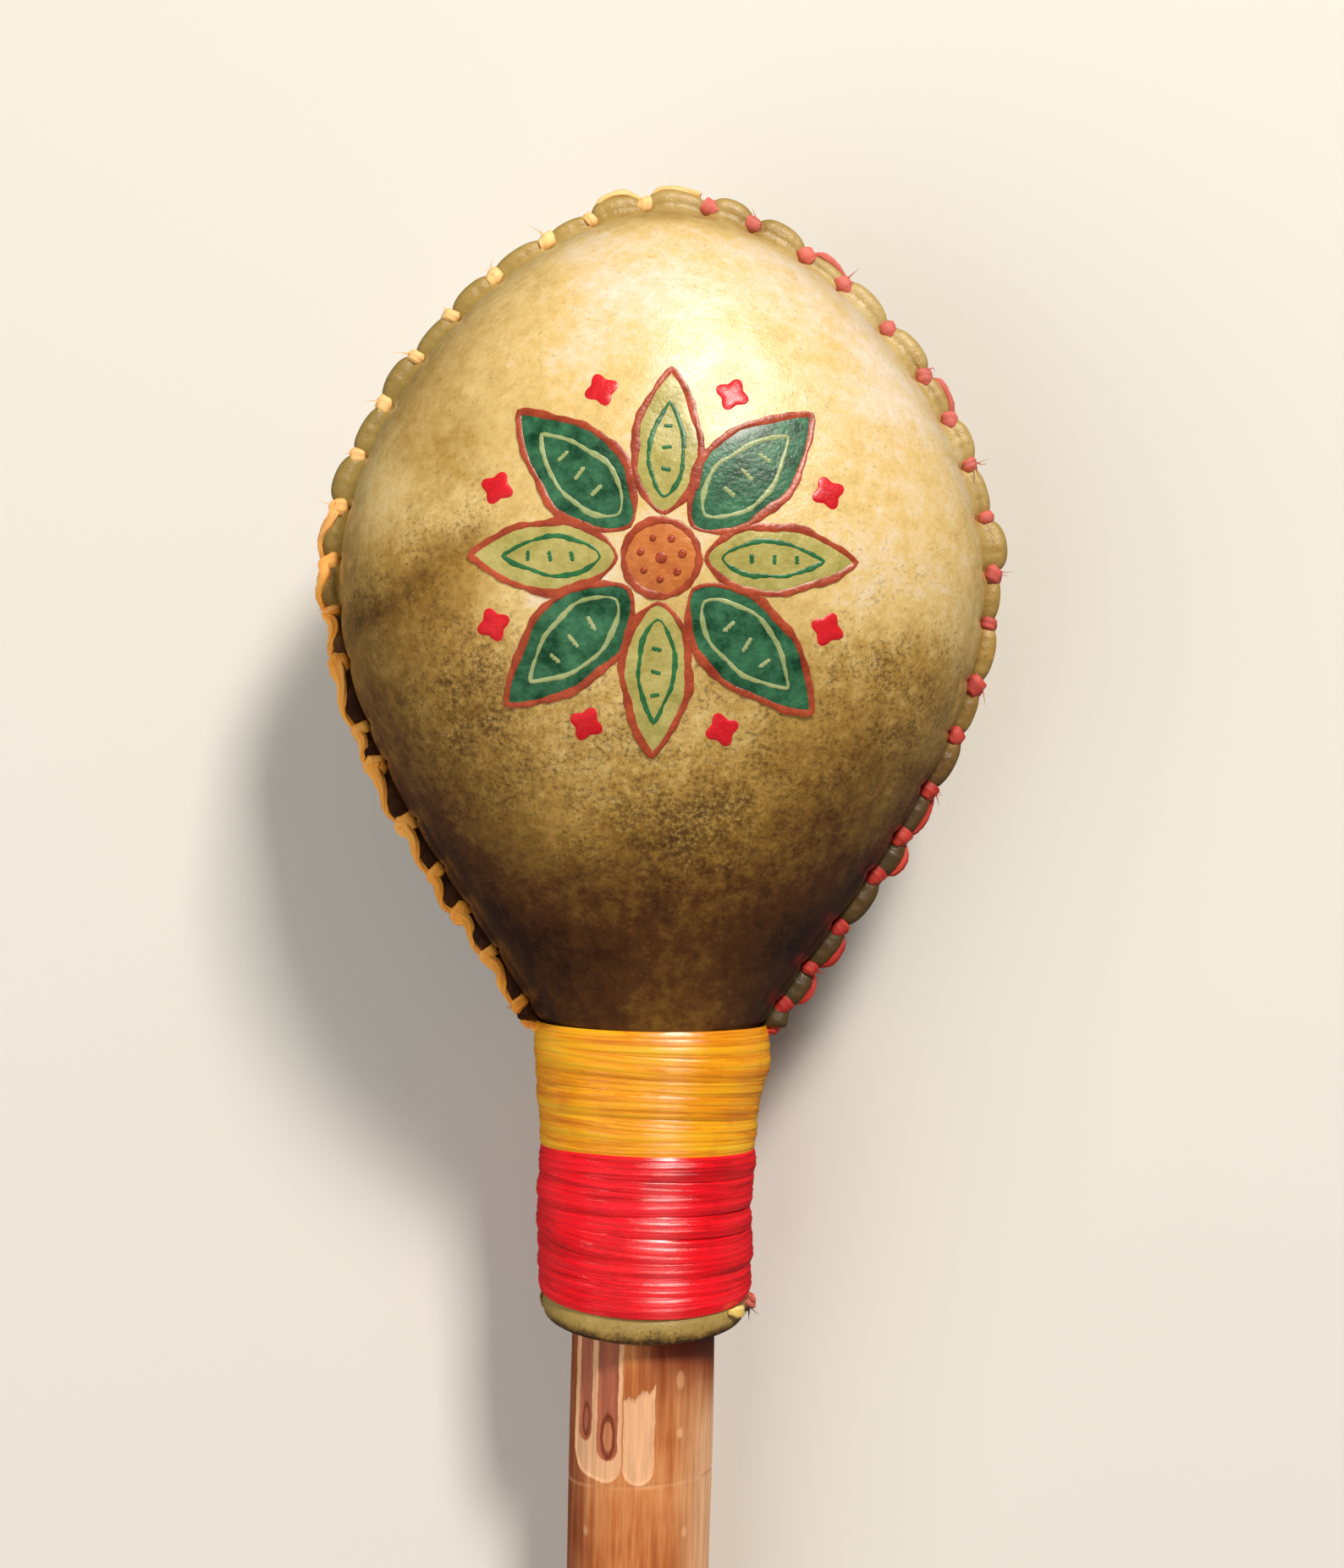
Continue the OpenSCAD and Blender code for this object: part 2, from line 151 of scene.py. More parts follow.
def piece(name, grids, material, slot, body=BODY, nodes=(), sharp=60.0, **attributes):
    """One object from grids of points, each (points, uv or None): quads join neighbours, coincident points
    are welded, which closes seams and poles, and normals are turned outwards. Attributes are functions of
    the own-frame points."""
    points, quads, uvs, start = [], [], [], 0
    for grid, uv in grids:
        rows, columns = grid.shape[:2]
        index = start + np.arange(rows * columns).reshape(rows, columns)
        corners = (index[:-1, :-1], index[:-1, 1:], index[1:, 1:], index[1:, :-1])
        quads.append(np.stack(corners, axis=-1).reshape(-1, 4))
        points.append(grid.reshape(-1, 3))
        uvs.append(np.zeros((rows * columns, 2)) if uv is None else uv.reshape(-1, 2))
        start += rows * columns
    points, quads, uvs = place(np.concatenate(points)), np.concatenate(quads), np.concatenate(uvs)

    mesh = bpy.data.meshes.new(name)
    mesh.from_pydata(points, [], quads)
    mesh.uv_layers.new(name="UVMap").uv.foreach_set("vector", uvs[quads].ravel())

    weld = bmesh.new()
    weld.from_mesh(mesh)
    bmesh.ops.remove_doubles(weld, verts=weld.verts, dist=WELD_M)
    bmesh.ops.recalc_face_normals(weld, faces=weld.faces)
    weld.to_mesh(mesh)
    weld.free()
    mesh.polygons.foreach_set("use_smooth", np.ones(len(mesh.polygons), dtype=bool))
    mesh.set_sharp_from_angle(angle=np.radians(sharp))

    if attributes:
        co = np.empty(3 * len(mesh.vertices))
        mesh.vertices.foreach_get("co", co)
        own = unplace(co.reshape(-1, 3))
        for key, function in attributes.items():
            layer = mesh.attributes.new(key, "FLOAT", "POINT")
            layer.data.foreach_set("value", function(*own.T).astype(np.float32))

    mesh.materials.append(material)
    thing = put(name, mesh)
    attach(thing, body)
    if nodes:
        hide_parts(*nodes)


def closed_tube(grid, first, last, length, around):
    """A tube's grid with its ends drawn to points, and its uv: length along and distance round in metres."""
    ends = [np.broadcast_to(point, (1, *grid.shape[1:])) for point in (first, last)]
    uv = join(np.pad(length, 1, mode="edge")[:, None], around) * MM
    return np.concatenate((ends[0], grid, ends[1])), uv


def sweep(path, outward, half_width, half_thick, sides=12, lobes=0.0, power=1.0):
    """A closed tube along a path: at each point a superellipse, half_thick along the outward direction made
    square to the path and half_width across it, with rippled sides; the ends shrink to points."""
    forward = unit(np.gradient(path, axis=0))
    outward = np.broadcast_to(outward, path.shape)
    out = unit(outward - np.sum(outward * forward, axis=-1, keepdims=True) * forward)
    aside = np.cross(forward, out)
    turn = np.linspace(0, 2 * np.pi, sides + 1)
    length = np.r_[0, np.cumsum(np.linalg.norm(np.diff(path, axis=0), axis=-1))]
    ripple = 1 + lobes * np.cos(STRANDS * turn + TWIST * length[:, None])
    wide = np.broadcast_to(half_width, length.shape)[:, None] * ripple * signed_power(np.cos(turn), power)
    thick = np.broadcast_to(half_thick, length.shape)[:, None] * ripple * signed_power(np.sin(turn), power)
    grid = path[:, None] + wide[..., None] * aside[:, None] + thick[..., None] * out[:, None]
    around = turn / (2 * np.pi) * 4 * np.mean(half_width)
    return closed_tube(grid, path[0], path[-1], length, around)


def smooth_path(points, steps):
    """A Catmull-Rom curve through the points: each span is the cubic set by its four nearest points."""
    p = np.concatenate((points[:1], points, points[-1:]))
    t = np.linspace(0, 1, steps, endpoint=False)[None, :, None]
    a, b, c, d = (p[i:len(p) - 3 + i, None, :] for i in range(4))
    bend = (2 * a - 5 * b + 4 * c - d) * t ** 2 + (3 * (b - c) + d - a) * t ** 3
    curve = 0.5 * (2 * b + (c - a) * t + bend)
    return np.concatenate((curve.reshape(-1, points.shape[1]), points[-1:]))


# Outline of the head, the same rules as the solids


def half(y, collar, widest):
    """Half width or depth at height y: the collar's, opening out under the yellow strip, then rising to the
    widest as a power of a sine."""
    top = collar + NECK_FLARE
    rise = np.clip((y - NECK_Y) / CONE_H, 0, 1)
    cone = top + (widest - top) * np.sin(np.pi / 2 * rise) ** TAPER_POWER
    return np.where(y <= NECK_Y, collar + np.interp(y, [YELLOW_Y, NECK_Y], [0, NECK_FLARE]), cone)


def outer_half_w(y):
    """Half width of the rawhide at height y."""
    return half(y, BORE_R + WALL + SEAM_FOLD, HEAD_W / 2)


def outer_half_d(y):
    """Half depth of the rawhide at height y."""
    return half(y, BORE_R + WALL, HEAD_D / 2)


def side_lift(y):
    """How much higher the neck's rings sit at the sides than at the front."""
    return np.interp(y, [HANDLE_OUT, YELLOW_Y], [COLLAR_TONGUE, 0])


def crown_radius(angle, half_w, height):
    """Superellipse of the crown in polar form about the widest place."""
    across, up = np.abs(np.cos(angle)) / half_w, np.abs(np.sin(angle)) / height
    return (across ** CROWN_POWER + up ** CROWN_POWER) ** (-1 / CROWN_POWER)


def seam_table(steps=400):
    """Points of the seam from the neck up the right side to the crown, with the length up to each."""
    y = np.linspace(NECK_Y, WIDEST_Y, steps)
    angle = np.linspace(0, np.pi / 2, steps)[1:]
    r = crown_radius(angle, HEAD_W / 2, CROWN_H)
    line = join(np.r_[outer_half_w(y), r * np.cos(angle)], np.r_[y, WIDEST_Y + r * np.sin(angle)])
    return np.r_[0, np.cumsum(np.hypot(*np.diff(line, axis=0).T))], line


SEAM_S, SEAM_LINE = seam_table()
SEAM_LENGTH = SEAM_S[-1]
STITCH_PITCH = SEAM_LENGTH / STITCHES


def seam_at(t):
    """Point of the seam at length t from the crown's top, positive to the right, on into the neck."""
    s = SEAM_LENGTH - np.abs(t)
    y = np.where(s < 0, NECK_Y + s, np.interp(s, SEAM_S, SEAM_LINE[:, 1]))
    x = np.where(s < 0, outer_half_w(y), np.interp(s, SEAM_S, SEAM_LINE[:, 0]))
    return join(np.sign(t) * x, y)


def seam_normal(t, step=0.5):
    """Outward normal of the seam, from the chord over a short step each way."""
    chord = seam_at(t + step) - seam_at(t - step)
    return unit(join(-chord[..., 1], chord[..., 0]))


# Rawhide

DOME_POWER = 2.15  # a little fuller than an ellipse in section
EDGE_GAP, NECK_RIDGE = 0.05, 0.4
VALLEY_W, LOBE_W, VALLEY_T, LOBE_T = 1.5, 3.8, 1.2, 2.5
ROLL_OVER, ROLL_ANGLE = 0.8, np.radians(16)  # the dome bulges over the sewn edge
PUCKER, PUCKER_ANGLE = 0.5, 0.22  # and is drawn in at each stitch
FUSED_Y, OPEN_Y = 242.0, 214.0  # above these the beans join the dome, below they stand off
LIP_SWELL, LIP_Y, LIP_W = 0.7, HANDLE_OUT + 2.2, 1.7  # the collar's free lip is swollen
LUMPS_SHOW = (0.25, 0.7)  # share of the dome's height where lumps start and are full
NECK_FADE = 12.0  # and how far over the neck they fade out
CREASE = ((-47, 224), (-41, 225.8), (-37, 229.5), (-34.5, 233), (-28, 235.7))

# Patches of the front, partly stains and partly painted shade and light: how much darker, or paler below 0,
# where, and how wide
TONE_PATCHES = ((0.14, (-27, 213), 7), (0.18, (-33, 226), 7), (0.1, (-29, 233), 5), (0.07, (-23, 207), 8),
          (0.13, (-34, 248), 6), (0.17, (42, 218), 6), (0.16, (36, 209), 13), (0.15, (27, 191), 14),
          (0.06, (-36, 204), 7), (-0.08, (-14, 192), 9), (-0.05, (40, 256), 13), (-0.14, (-14, 226), 12),
          (-0.22, (-43, 243), 8))
# Darker strokes, each from a start to an end with a width: painted shade at the crease's end, in the fold
# near the top and along the crown's rim
STREAKS = ((0.1, (-47, 225), (-42, 212), 6), (0.1, (2, 254), (11, 261), 3), (0.2, (-8, 290), (14, 290), 4))
FOLLICLES = ((0.7, (-27, 213), 12), (0.5, (36, 216), 13), (0.2, (5, 192), 11))
UPPER = (215, 250)  # heights between which the lower head passes into the upper

# Left and right stitches, spaced by hand, and the beans between them; both sides share the crown's bean
STITCH_S = (np.arange(STITCHES) + 0.5 + rng.uniform(-0.14, 0.14, (2, STITCHES))) * STITCH_PITCH
BEAN_SIZE = rng.uniform(0.6, 1.25, (2, STITCHES + 1))
BEAN_SKEW = rng.uniform(0.75, 1.3, (2, STITCHES + 1))
BEAN_SIZE[:, STITCHES], BEAN_SKEW[:, STITCHES] = 1.0, 1.0
BEAN_SIZE[0, :9] *= 0.85    # the lower left ones are slimmer


def stitch_phase(s, side):
    """Stitch count at a length along the seam: a whole number between stitches and a half at each."""
    places, counts = np.r_[0, STITCH_S[side], SEAM_LENGTH], np.r_[0, np.arange(STITCHES) + 0.5, STITCHES]
    return np.interp(s, places, counts)


def bean_width(side, which, bean):
    """Width of the sewn edge at a bean: from the valley's up to the bean's own, as bean goes from 0 to 1."""
    return VALLEY_W + (LOBE_W - VALLEY_W) * BEAN_SIZE[side, which] * bean


def crease_line(x, y, width):
    """A soft stroke along the bent crease on the left of the front."""
    return np.maximum.reduce([streak(x, y, a, b, width) for a, b in zip(CREASE, CREASE[1:])])


def front_lumps(x, y):
    """Hand-moulded unevenness of the front in mm: slow waves, a pinched crease on the left and soft folds."""
    waves = 0.5 * np.sin(x / 17 + 0.6) * np.cos(y / 21) + 0.35 * np.sin((x + 1.4 * y) / 13)
    crease = 0.45 * crease_line(x, y - 4, 3.5) - 0.8 * crease_line(x, y, 2.4)
    folds = -0.45 * streak(x, y, (1, 254), (11, 261), 3.5) - 0.3 * blob(x, y, (-33, 250), 6)
    return waves + crease + folds


def rear_lumps(x, y):
    """Hand-moulded unevenness of the back in mm: slow waves and one soft fold."""
    waves = 0.5 * np.sin(x / 15 - 0.9) * np.cos(y / 19 + 1.1) + 0.3 * np.sin((1.3 * y - x) / 14)
    return waves - 0.5 * streak(x, y, (12, 205), (24, 226), 3.0)


def front_height(x, y):
    """Height of the front's surface over the seam's plane: a superelliptic dome plus the lumps."""
    up = y - WIDEST_Y
    low = np.abs(x) / outer_half_w(np.minimum(y, WIDEST_Y))
    high = np.hypot(x, up) / crown_radius(np.arctan2(up, np.abs(x)), HEAD_W / 2, CROWN_H)
    q = np.clip(np.where(up <= 0, low, high), 0, 1)
    rise = (1 - q ** DOME_POWER) ** (1 / DOME_POWER)
    return outer_half_d(np.minimum(y, WIDEST_Y)) * rise + front_lumps(x, y) * smoothstep(*LUMPS_SHOW, rise)


def seam_rows(per_bean=18, in_neck=40, in_rim=6):
    """Row places along the whole seam, left collar over the crown to the right collar, as the length from
    the crown and, past the collar's end, the angle round its rim."""
    head = np.linspace(SEAM_LENGTH, 0, per_bean * STITCHES + 1)
    neck = np.linspace(SEAM_LENGTH + NECK_Y - HANDLE_OUT - WALL / 2, SEAM_LENGTH, in_neck)[:-1]
    rim = np.linspace(np.pi / 2, 0, in_rim + 1)[:-1]
    side = np.r_[np.full(in_rim, neck[0]), neck, head]
    rims = np.r_[rim, np.zeros(len(neck) + len(head))]
    return np.r_[-side, side[-2::-1]], np.r_[rims, rims[-2::-1]]


def rawhide_half(front):
    """One half as a closed skin. Each row runs from the inside of the dome down to the seam, out over the
    mating face, round the swollen edge, and up the outside as a superellipse to the centre line."""
    t, rim = (places[:, None] for places in seam_rows())
    seam, normal = seam_at(t), seam_normal(t)
    side, s, y = np.sign(t), SEAM_LENGTH - np.abs(t), seam[..., 1]
    in_crown = y > WIDEST_Y
    centre = np.minimum(y, WIDEST_Y)

    # Rounded collar end, with the free lip swollen a little
    reach = -WALL / 2 * np.sin(rim)
    swell = LIP_SWELL * bell(y - LIP_Y, LIP_W)
    seam = seam + join(side * swell, reach)
    height = outer_half_d(centre) + swell
    angle = np.arctan2(y - WIDEST_Y, np.abs(seam[..., 0]))
    inner_r = crown_radius(angle, HEAD_W / 2 - WALL, CROWN_H - WALL)
    inner_w = half(centre, BORE_R, HEAD_W / 2 - WALL)
    inner_x = side * np.where(in_crown, inner_r * np.cos(angle), inner_w)
    inner_y = np.where(in_crown, WIDEST_Y + inner_r * np.sin(angle), y) + reach
    inner_h = half(centre, BORE_R, HEAD_D / 2 - WALL)
    centre = centre + reach
    lift = np.where(s < 0, side_lift(y), 0)

    # Beans of the edge: pinched at each stitch, each of its own size and lean, with a few wrinkles
    right = (t > 0).astype(int)
    phase = np.where(t > 0, stitch_phase(s, 1), stitch_phase(s, 0))
    which = np.floor(phase + 0.5).astype(int).clip(0, STITCHES)
    in_bean = np.clip(phase + 0.5 - which, 0, 1) ** BEAN_SKEW[right, which]
    bean = np.sqrt(1 - np.abs(2 * in_bean - 1) ** 2.4)
    shown = smoothstep(-0.5, 2.5, s)
    stands_off = smoothstep(FUSED_Y, OPEN_Y, y)
    wrinkles = 1 + (0.04 * np.sin(19 * phase) + 0.03 * np.sin(31 * phase + 1)) * bean
    edge_w = NECK_RIDGE + shown * (bean_width(right, which, bean) - NECK_RIDGE)
    edge_t = VALLEY_T + shown * (LOBE_T - VALLEY_T) * bean * BEAN_SIZE[right, which] ** 0.5 * wrinkles

    # Inside of the dome, from the centre line to the seam
    b = np.linspace(np.pi / 2, 0, 21)
    inside = join(inner_x * np.cos(b),
                  centre + (inner_y - centre) * np.cos(b) + lift * (1 - np.sin(b)),
                  np.maximum(inner_h * np.sin(b), EDGE_GAP))
    # Mating face
    edge = seam + edge_w[..., None] * normal
    f = np.linspace(0, 1, 4)[1:-1]
    mating = join(inner_x + (edge[..., 0] - inner_x) * f,
                  inner_y + (edge[..., 1] - inner_y) * f + lift,
                  EDGE_GAP)
    # Swollen edge, a rounded bean in section, cut short where it joins the dome
    p = np.radians(105 + 37 * stands_off) * np.linspace(0, 1, 12)
    out = edge_w / 2 * (1 + signed_power(np.cos(p), 0.8))
    bead = join(seam[..., 0] + out * normal[..., 0],
                seam[..., 1] + out * normal[..., 1] + lift,
                EDGE_GAP + edge_t * np.sin(p) ** 0.8)
    # Outside of the dome
    base = np.arcsin(((1.5 - 0.88 * stands_off) * edge_t / height) ** (DOME_POWER / 2))
    b = base + (np.pi / 2 - base) * np.linspace(0, 1, 72) ** 1.3
    q, z = np.cos(b).clip(0) ** (2 / DOME_POWER), np.sin(b) ** (2 / DOME_POWER)
    roll = ROLL_OVER * (stands_off * (0.5 + 0.5 * bean)) * np.sin(np.pi * np.clip(b / ROLL_ANGLE, 0, 1))
    roll = shown * (roll - PUCKER * (1 - bean) * bell(b, PUCKER_ANGLE))
    x = seam[..., 0] * q + roll * normal[..., 0]
    y = centre + (seam[..., 1] - centre) * q + lift * (1 - z) + roll * normal[..., 1]
    lumps = front_lumps(x, y) if front else rear_lumps(x, y)
    fade = smoothstep(*LUMPS_SHOW, z) * smoothstep(NECK_Y, NECK_Y + NECK_FADE, y)
    dome = join(x, y, height * z + lumps * fade)

    # At the collar's end both sides close on the ellipse midway between them, at the inside's own angles
    skin = np.concatenate((inside, mating, bead, dome), axis=1)
    turn = np.arctan2(skin[..., 2], np.abs(skin[..., 0]))
    steps = turn[0, :inside.shape[1]]
    nearest = steps[np.abs(turn[0][:, None] - steps).argmin(axis=1)]
    turn = np.where(rim == rim.max(), nearest, turn)
    mid_w, mid_h = (np.abs(seam[..., 0]) + inner_w) / 2, (height + inner_h) / 2
    mid_r = 1 / np.hypot(np.cos(turn) / mid_w, np.sin(turn) / mid_h)
    closed = join(side * mid_r * np.cos(turn), centre + lift * (1 - np.sin(turn)), mid_r * np.sin(turn))
    skin = skin + (1 - np.cos(rim))[..., None] * (closed - skin)
    return skin if front else skin * (1, 1, -1), None


def sewn_edge(x, y, z):
    """1 on the beans of the sewn edge, fading to 0 on the dome beside them."""
    return bell(z, 2.6) * (y > NECK_Y)


def on_lip(y):
    """1 on the collar's free lip, fading to 0 under the red strip."""
    return smoothstep(RED_Y + 6, RED_Y, y)


def above_rim(x, y, z):
    """Height over the collar's end, which is lower at the front and back than at the sides."""
    return y - COLLAR_TONGUE * (1 - np.abs(z) / np.hypot(x, z)) - HANDLE_OUT


def hide_tone(x, y, z):
    """How dark the rawhide is, 0 to 1: its own tone, darker towards the neck, with painted shade there, on
    the left, along the seam, the crease and the folds, painted light at the crown, and darker and paler
    patches.
    """
    rise = (y - NECK_Y) / (CROWN_Y - NECK_Y)
    # Darker towards the neck, partly the hide's own colour and partly painted shade; paler at the crown,
    # partly painted light
    tone = 0.22 + 0.62 * (1 - smoothstep(-0.05, 0.6, rise)) - 0.1 * smoothstep(0.5, 0.9, rise)
    tone += 0.11 * bell(y - 179, 9) - 0.05 * bell(y - 204, 12) - 0.09 * smoothstep(176, 165, y)
    # Painted shade: darker to the left, a little lighter to the right
    tone += 0.2 * smoothstep(-8, -46, x) - 0.02 * smoothstep(5, 40, x)
    # Darker along the crease and in the folds, front and back, painted shade; the patches partly stains and
    # partly painted shade and light
    stains = 0.15 * crease_line(x, y, 2.6) + total(blob, x, y, TONE_PATCHES) + total(streak, x, y, STREAKS)
    back = 0.2 * streak(x, y, (10, 203), (24, 226), 5) + 0.12 * blob(x, y, (-20, 240), 12)
    tone += np.where(z > 0, stains, back)
    # Painted shade along the seam, deepest over the lower left beans, and over the lower sides of the dome
    seam = bell(z, 7) * (0.12 + 0.1 * smoothstep(262, 225, y))
    seam += 0.5 * bell(z, 3.5) * smoothstep(232, 212, y) * (x < 0)
    seam += np.where(x < 0, 0.2, 0.13) * bell(z, 15) * smoothstep(214, 192, y)
    tone += seam * (y > NECK_Y)
    # The beans darker at the top, more so to the left: partly thicker hide, partly painted shade
    tone += sewn_edge(x, y, z) * smoothstep(*UPPER, y) * (0.13 + 0.07 * smoothstep(30, -10, x))
    ragged = above_rim(x, y, z) - 0.4 * np.sin(0.9 * x) * np.sin(0.37 * x + 1)
    lip = 0.38 + 0.62 * smoothstep(1.7, 0.3, ragged)
    return np.clip(tone + on_lip(y) * (lip - tone), 0, 1)


def hide_speckle(x, y, z):
    """How thickly dark hair follicles show, 0 to 1: most in the middle and lower part of each face."""
    band = bell(y - 202, 17) * bell(x - 3, 28)
    patches = total(blob, x, y, FOLLICLES) + 0.45 * crease_line(x, y - 3, 6)
    lip = smoothstep(RED_Y, HANDLE_OUT, y)
    return np.clip(0.32 + 0.68 * band + patches + 0.8 * lip, 0, 1)


def hide_olive(x, y, z):
    """How far the rawhide has gone olive, 0 to 1: most on the lip, some along the seam and the left; along
    the crown's rim it is partly painted shade.
    """
    lip = on_lip(y) * smoothstep(0, 2.2, above_rim(x, y, z))
    upper = smoothstep(*UPPER, y)
    lower_right = smoothstep(5, 20, x) * (1 - upper) * (y > NECK_Y)
    seam = 0.35 * bell(z, 3) * (lower_right + upper)
    # Olive-grey along the crown's rim: partly the hide's colour, partly painted shade
    return 0.55 * lip + seam + upper * (0.25 * bell(z, 10) + 0.15 * smoothstep(-10, -45, x))


# Thread and strips

HOLE_N, LOOP_TOP, RUN_OFF = 0.7, 2.0, 0.25     # a hole's distance out, a loop's height, a run's gap
LOOP_OUT, SLANT_OUT = 2.4, 3.0          # loops before a slanting run are looser
LOOP_POWER = 0.6                        # a rounded square
STUB_HALF, RUN_HALF, THREAD_HALF_T = 1.15, 0.7, 0.55
BEHIND_EDGE, BEHIND_TURN = (2.2, -3.0), 1.3     # a run behind the edge, and how early it joins its loops
SLANT_TURN = 0.9                        # how late a slanting run joins the next loop
RUN_SHARE = 0.92                        # share of a bean's swelling where a run lies
SLANT_RUNS = range(0, 10)               # on the left, runs after these stitches slant in over the front
YELLOW_RUNS_BEHIND = range(10, 17)      # runs after these stitches pass behind the edge
RED_RUNS_SHOWN = (0, 1, 3, 4, 12, 15)   # runs after these stitches lie outside it
STRIP_T, STRIP_OFF, STRAND_H = 0.5, 0.45, 0.045     # thickness, distance off the neck, ridges of fibre
TURN_RISE, EDGE_TILT = 0.05, 0.12       # each turn lies further out, and leans on the one before
LEVEL_TURNS = 0.8                       # turns at each end that don't climb
KNOT_R = 0.8625


def stitching(right, run_shown):
    """The thread of one side as places (length, distance out, height, half width) about the seam: out of the
    wound strip, at each stitch over the front of the edge on a rounded square, through the hole and round the
    back, then on against the bean's outside, slanting over its front or behind it to the next stitch."""
    side = int(right)
    places = [(-4.0, 0.6, 0.6, RUN_HALF), (-1.5, 1.1, 0.9, RUN_HALF), (1.0, 2.6, 0.9, RUN_HALF)]
    for j, s in enumerate(STITCH_S[side]):
        lean = rng.uniform(-1.0, 1.0)
        slants = not right and j in SLANT_RUNS
        arrives = SLANT_TURN if not right and j - 1 in SLANT_RUNS else 0
        first = arrives if j == 0 or run_shown(j - 1) else -BEHIND_TURN
        last = 2 * np.pi if run_shown(j) else 2 * np.pi - BEHIND_TURN
        turn = np.linspace(first, last, 14)
        loop_out = SLANT_OUT if slants else LOOP_OUT
        out = (HOLE_N + loop_out) / 2 + (loop_out - HOLE_N) / 2 * signed_power(np.cos(turn), LOOP_POWER)
        over = LOOP_TOP * rng.uniform(0.9, 1.15) * signed_power(np.sin(turn), LOOP_POWER) + 0.1
        along = s + 0.8 * ((turn - np.pi) / np.pi) ** 3 + lean * (out - HOLE_N) / 2.4
        stub = STUB_HALF * rng.uniform(0.75, 1.4)
        wide = RUN_HALF + (stub - RUN_HALF) * smoothstep(0, 0.6, np.sin(turn))
        places += list(zip(along, out, over, wide))
        if j == STITCHES - 1:
            break
        outside = (bean_width(side, j + 1, RUN_SHARE) + RUN_OFF, rng.uniform(0.3, 1.1))
        lower = outside if run_shown(j) else BEHIND_EDGE
        upper = (outside[0] - 1.2, 2.5) if slants else lower
        half_width = (1.25 if slants else 1.0) * RUN_HALF * rng.uniform(0.85, 1.1)
        gap = STITCH_S[side][j + 1] - s
        places += [(s + gap * 0.32, *lower, half_width), (s + gap * 0.7, *upper, half_width)]
    if not right:
        over_crown = bean_width(side, STITCHES, RUN_SHARE) + RUN_OFF
        places += [(SEAM_LENGTH + past, over_crown, 0.6, RUN_HALF) for past in (-1.5, 1.5)]
        places.append((SEAM_LENGTH + 4.0, 3.4, 0.9, 0.45))
    s, out, over, wide = smooth_path(np.array(places), 5).T
    t = (SEAM_LENGTH - s) * (1 if right else -1)
    normal = seam_normal(t)
    path = np.column_stack((seam_at(t) + out[:, None] * normal, over))
    from_edge = out - (HOLE_N + LOOP_OUT) / 2
    outward = np.column_stack((from_edge[:, None] * normal, over))
    uneven = 1 + 0.1 * np.sin(s * 1.7) + 0.06 * np.sin(s * 5.1)
    return sweep(path, outward, wide * uneven, THREAD_HALF_T * uneven, sides=30, lobes=0.08)


def on_neck(angle, y, out):
    """A point out from the neck's surface at an angle from the right side."""
    return join((outer_half_w(y) + NECK_RIDGE + out) * np.cos(angle),
                y + side_lift(y) * (1 - np.abs(np.sin(angle))),
                (outer_half_d(y) + out) * np.sin(angle))


def neck_swell(angle, y):
    """Slow bulges of the wound neck in mm: out at the top right, in at the waist, out a little below."""
    right, left = (np.clip(way * np.cos(angle), 0, 1) ** 0.7 for way in (1, -1))
    at_right = 0.9 * bell(y - 157, 4.5) - 0.45 * bell(y - 134, 4)
    at_left = 0.35 * bell(y - 131, 6) + 0.25 * bell(y - 152, 6)
    return right * at_right + left * at_left


def wound_strip(low, high, turns, width):
    """A flat strip wound up the neck from the back to the back. Its middle climbs from low to high, lying
    level in its first and last turns; its section is a thin bar with sharp edges whose lower edge rides on
    the turn before; slow waves along it make the turns cross a little, as hand-wound ones do."""
    angle = np.linspace(0, 2 * np.pi * turns, 96 * turns + 1)[:, None]
    count = angle / (2 * np.pi)
    climb = np.clip((count - LEVEL_TURNS) / (turns - 2 * LEVEL_TURNS), 0, 1)
    phases = rng.uniform(0, 2 * np.pi, 8)
    wave = 0.5 * np.sin(0.73 * angle + phases[0]) + 0.35 * np.sin(1.31 * angle + phases[1])
    middle = low + width / 2 + (high - low - width) * climb + wave * np.sin(np.pi * climb) ** 0.5
    wide = width / 2 * (1 + 0.1 * np.sin(0.41 * angle + phases[2]) + 0.05 * np.sin(1.9 * angle + phases[3]))
    puff = 0.1 * np.sin(0.57 * angle + phases[4]) + 0.07 * np.sin(2.3 * angle + phases[5])

    # Section: outside from edge to edge, then back along the inside
    across = np.r_[np.linspace(-1, 1, 25), np.linspace(1, -1, 7)[1:]]
    outside = np.r_[np.ones(25), np.zeros(6)]
    crowned = 0.5 * (1 - across ** 2) + 0.5 * (1 - across ** 6)
    strands = np.sin(across * 11 + phases[6] + 0.5 * np.sin(0.37 * angle))
    strands = strands + 0.7 * np.sin(across * 23 + phases[7] + 0.8 * np.sin(0.53 * angle + 1))
    out = STRIP_OFF + TURN_RISE * count - EDGE_TILT * across
    out = out + ((STRIP_T + puff) * crowned + STRAND_H * strands) * outside
    y, theta = middle + wide * across, angle - np.pi / 2
    grid = on_neck(theta, y, out + neck_swell(theta, y))
    length = angle[:, 0] * (BORE_R + WALL + 2)
    return closed_tube(grid, grid[0].mean(axis=0), grid[-1].mean(axis=0), length, across * width / 2)


def thread_tab():
    """The flat yellow end: a short strip that comes out under the red turns and lies along the lip."""
    f = np.linspace(0, 1, 16)
    angle = np.radians(38 - 13 * f)
    path = on_neck(angle, RED_Y - 0.5 - 0.9 * f, 1.1 + 0.25 * np.sin(np.pi * f))
    outward = join(np.cos(angle), 0.0, np.sin(angle))
    return sweep(path, outward, 0.45 + 0.5 * smoothstep(0, 0.5, f), 0.36, sides=14, power=0.8)


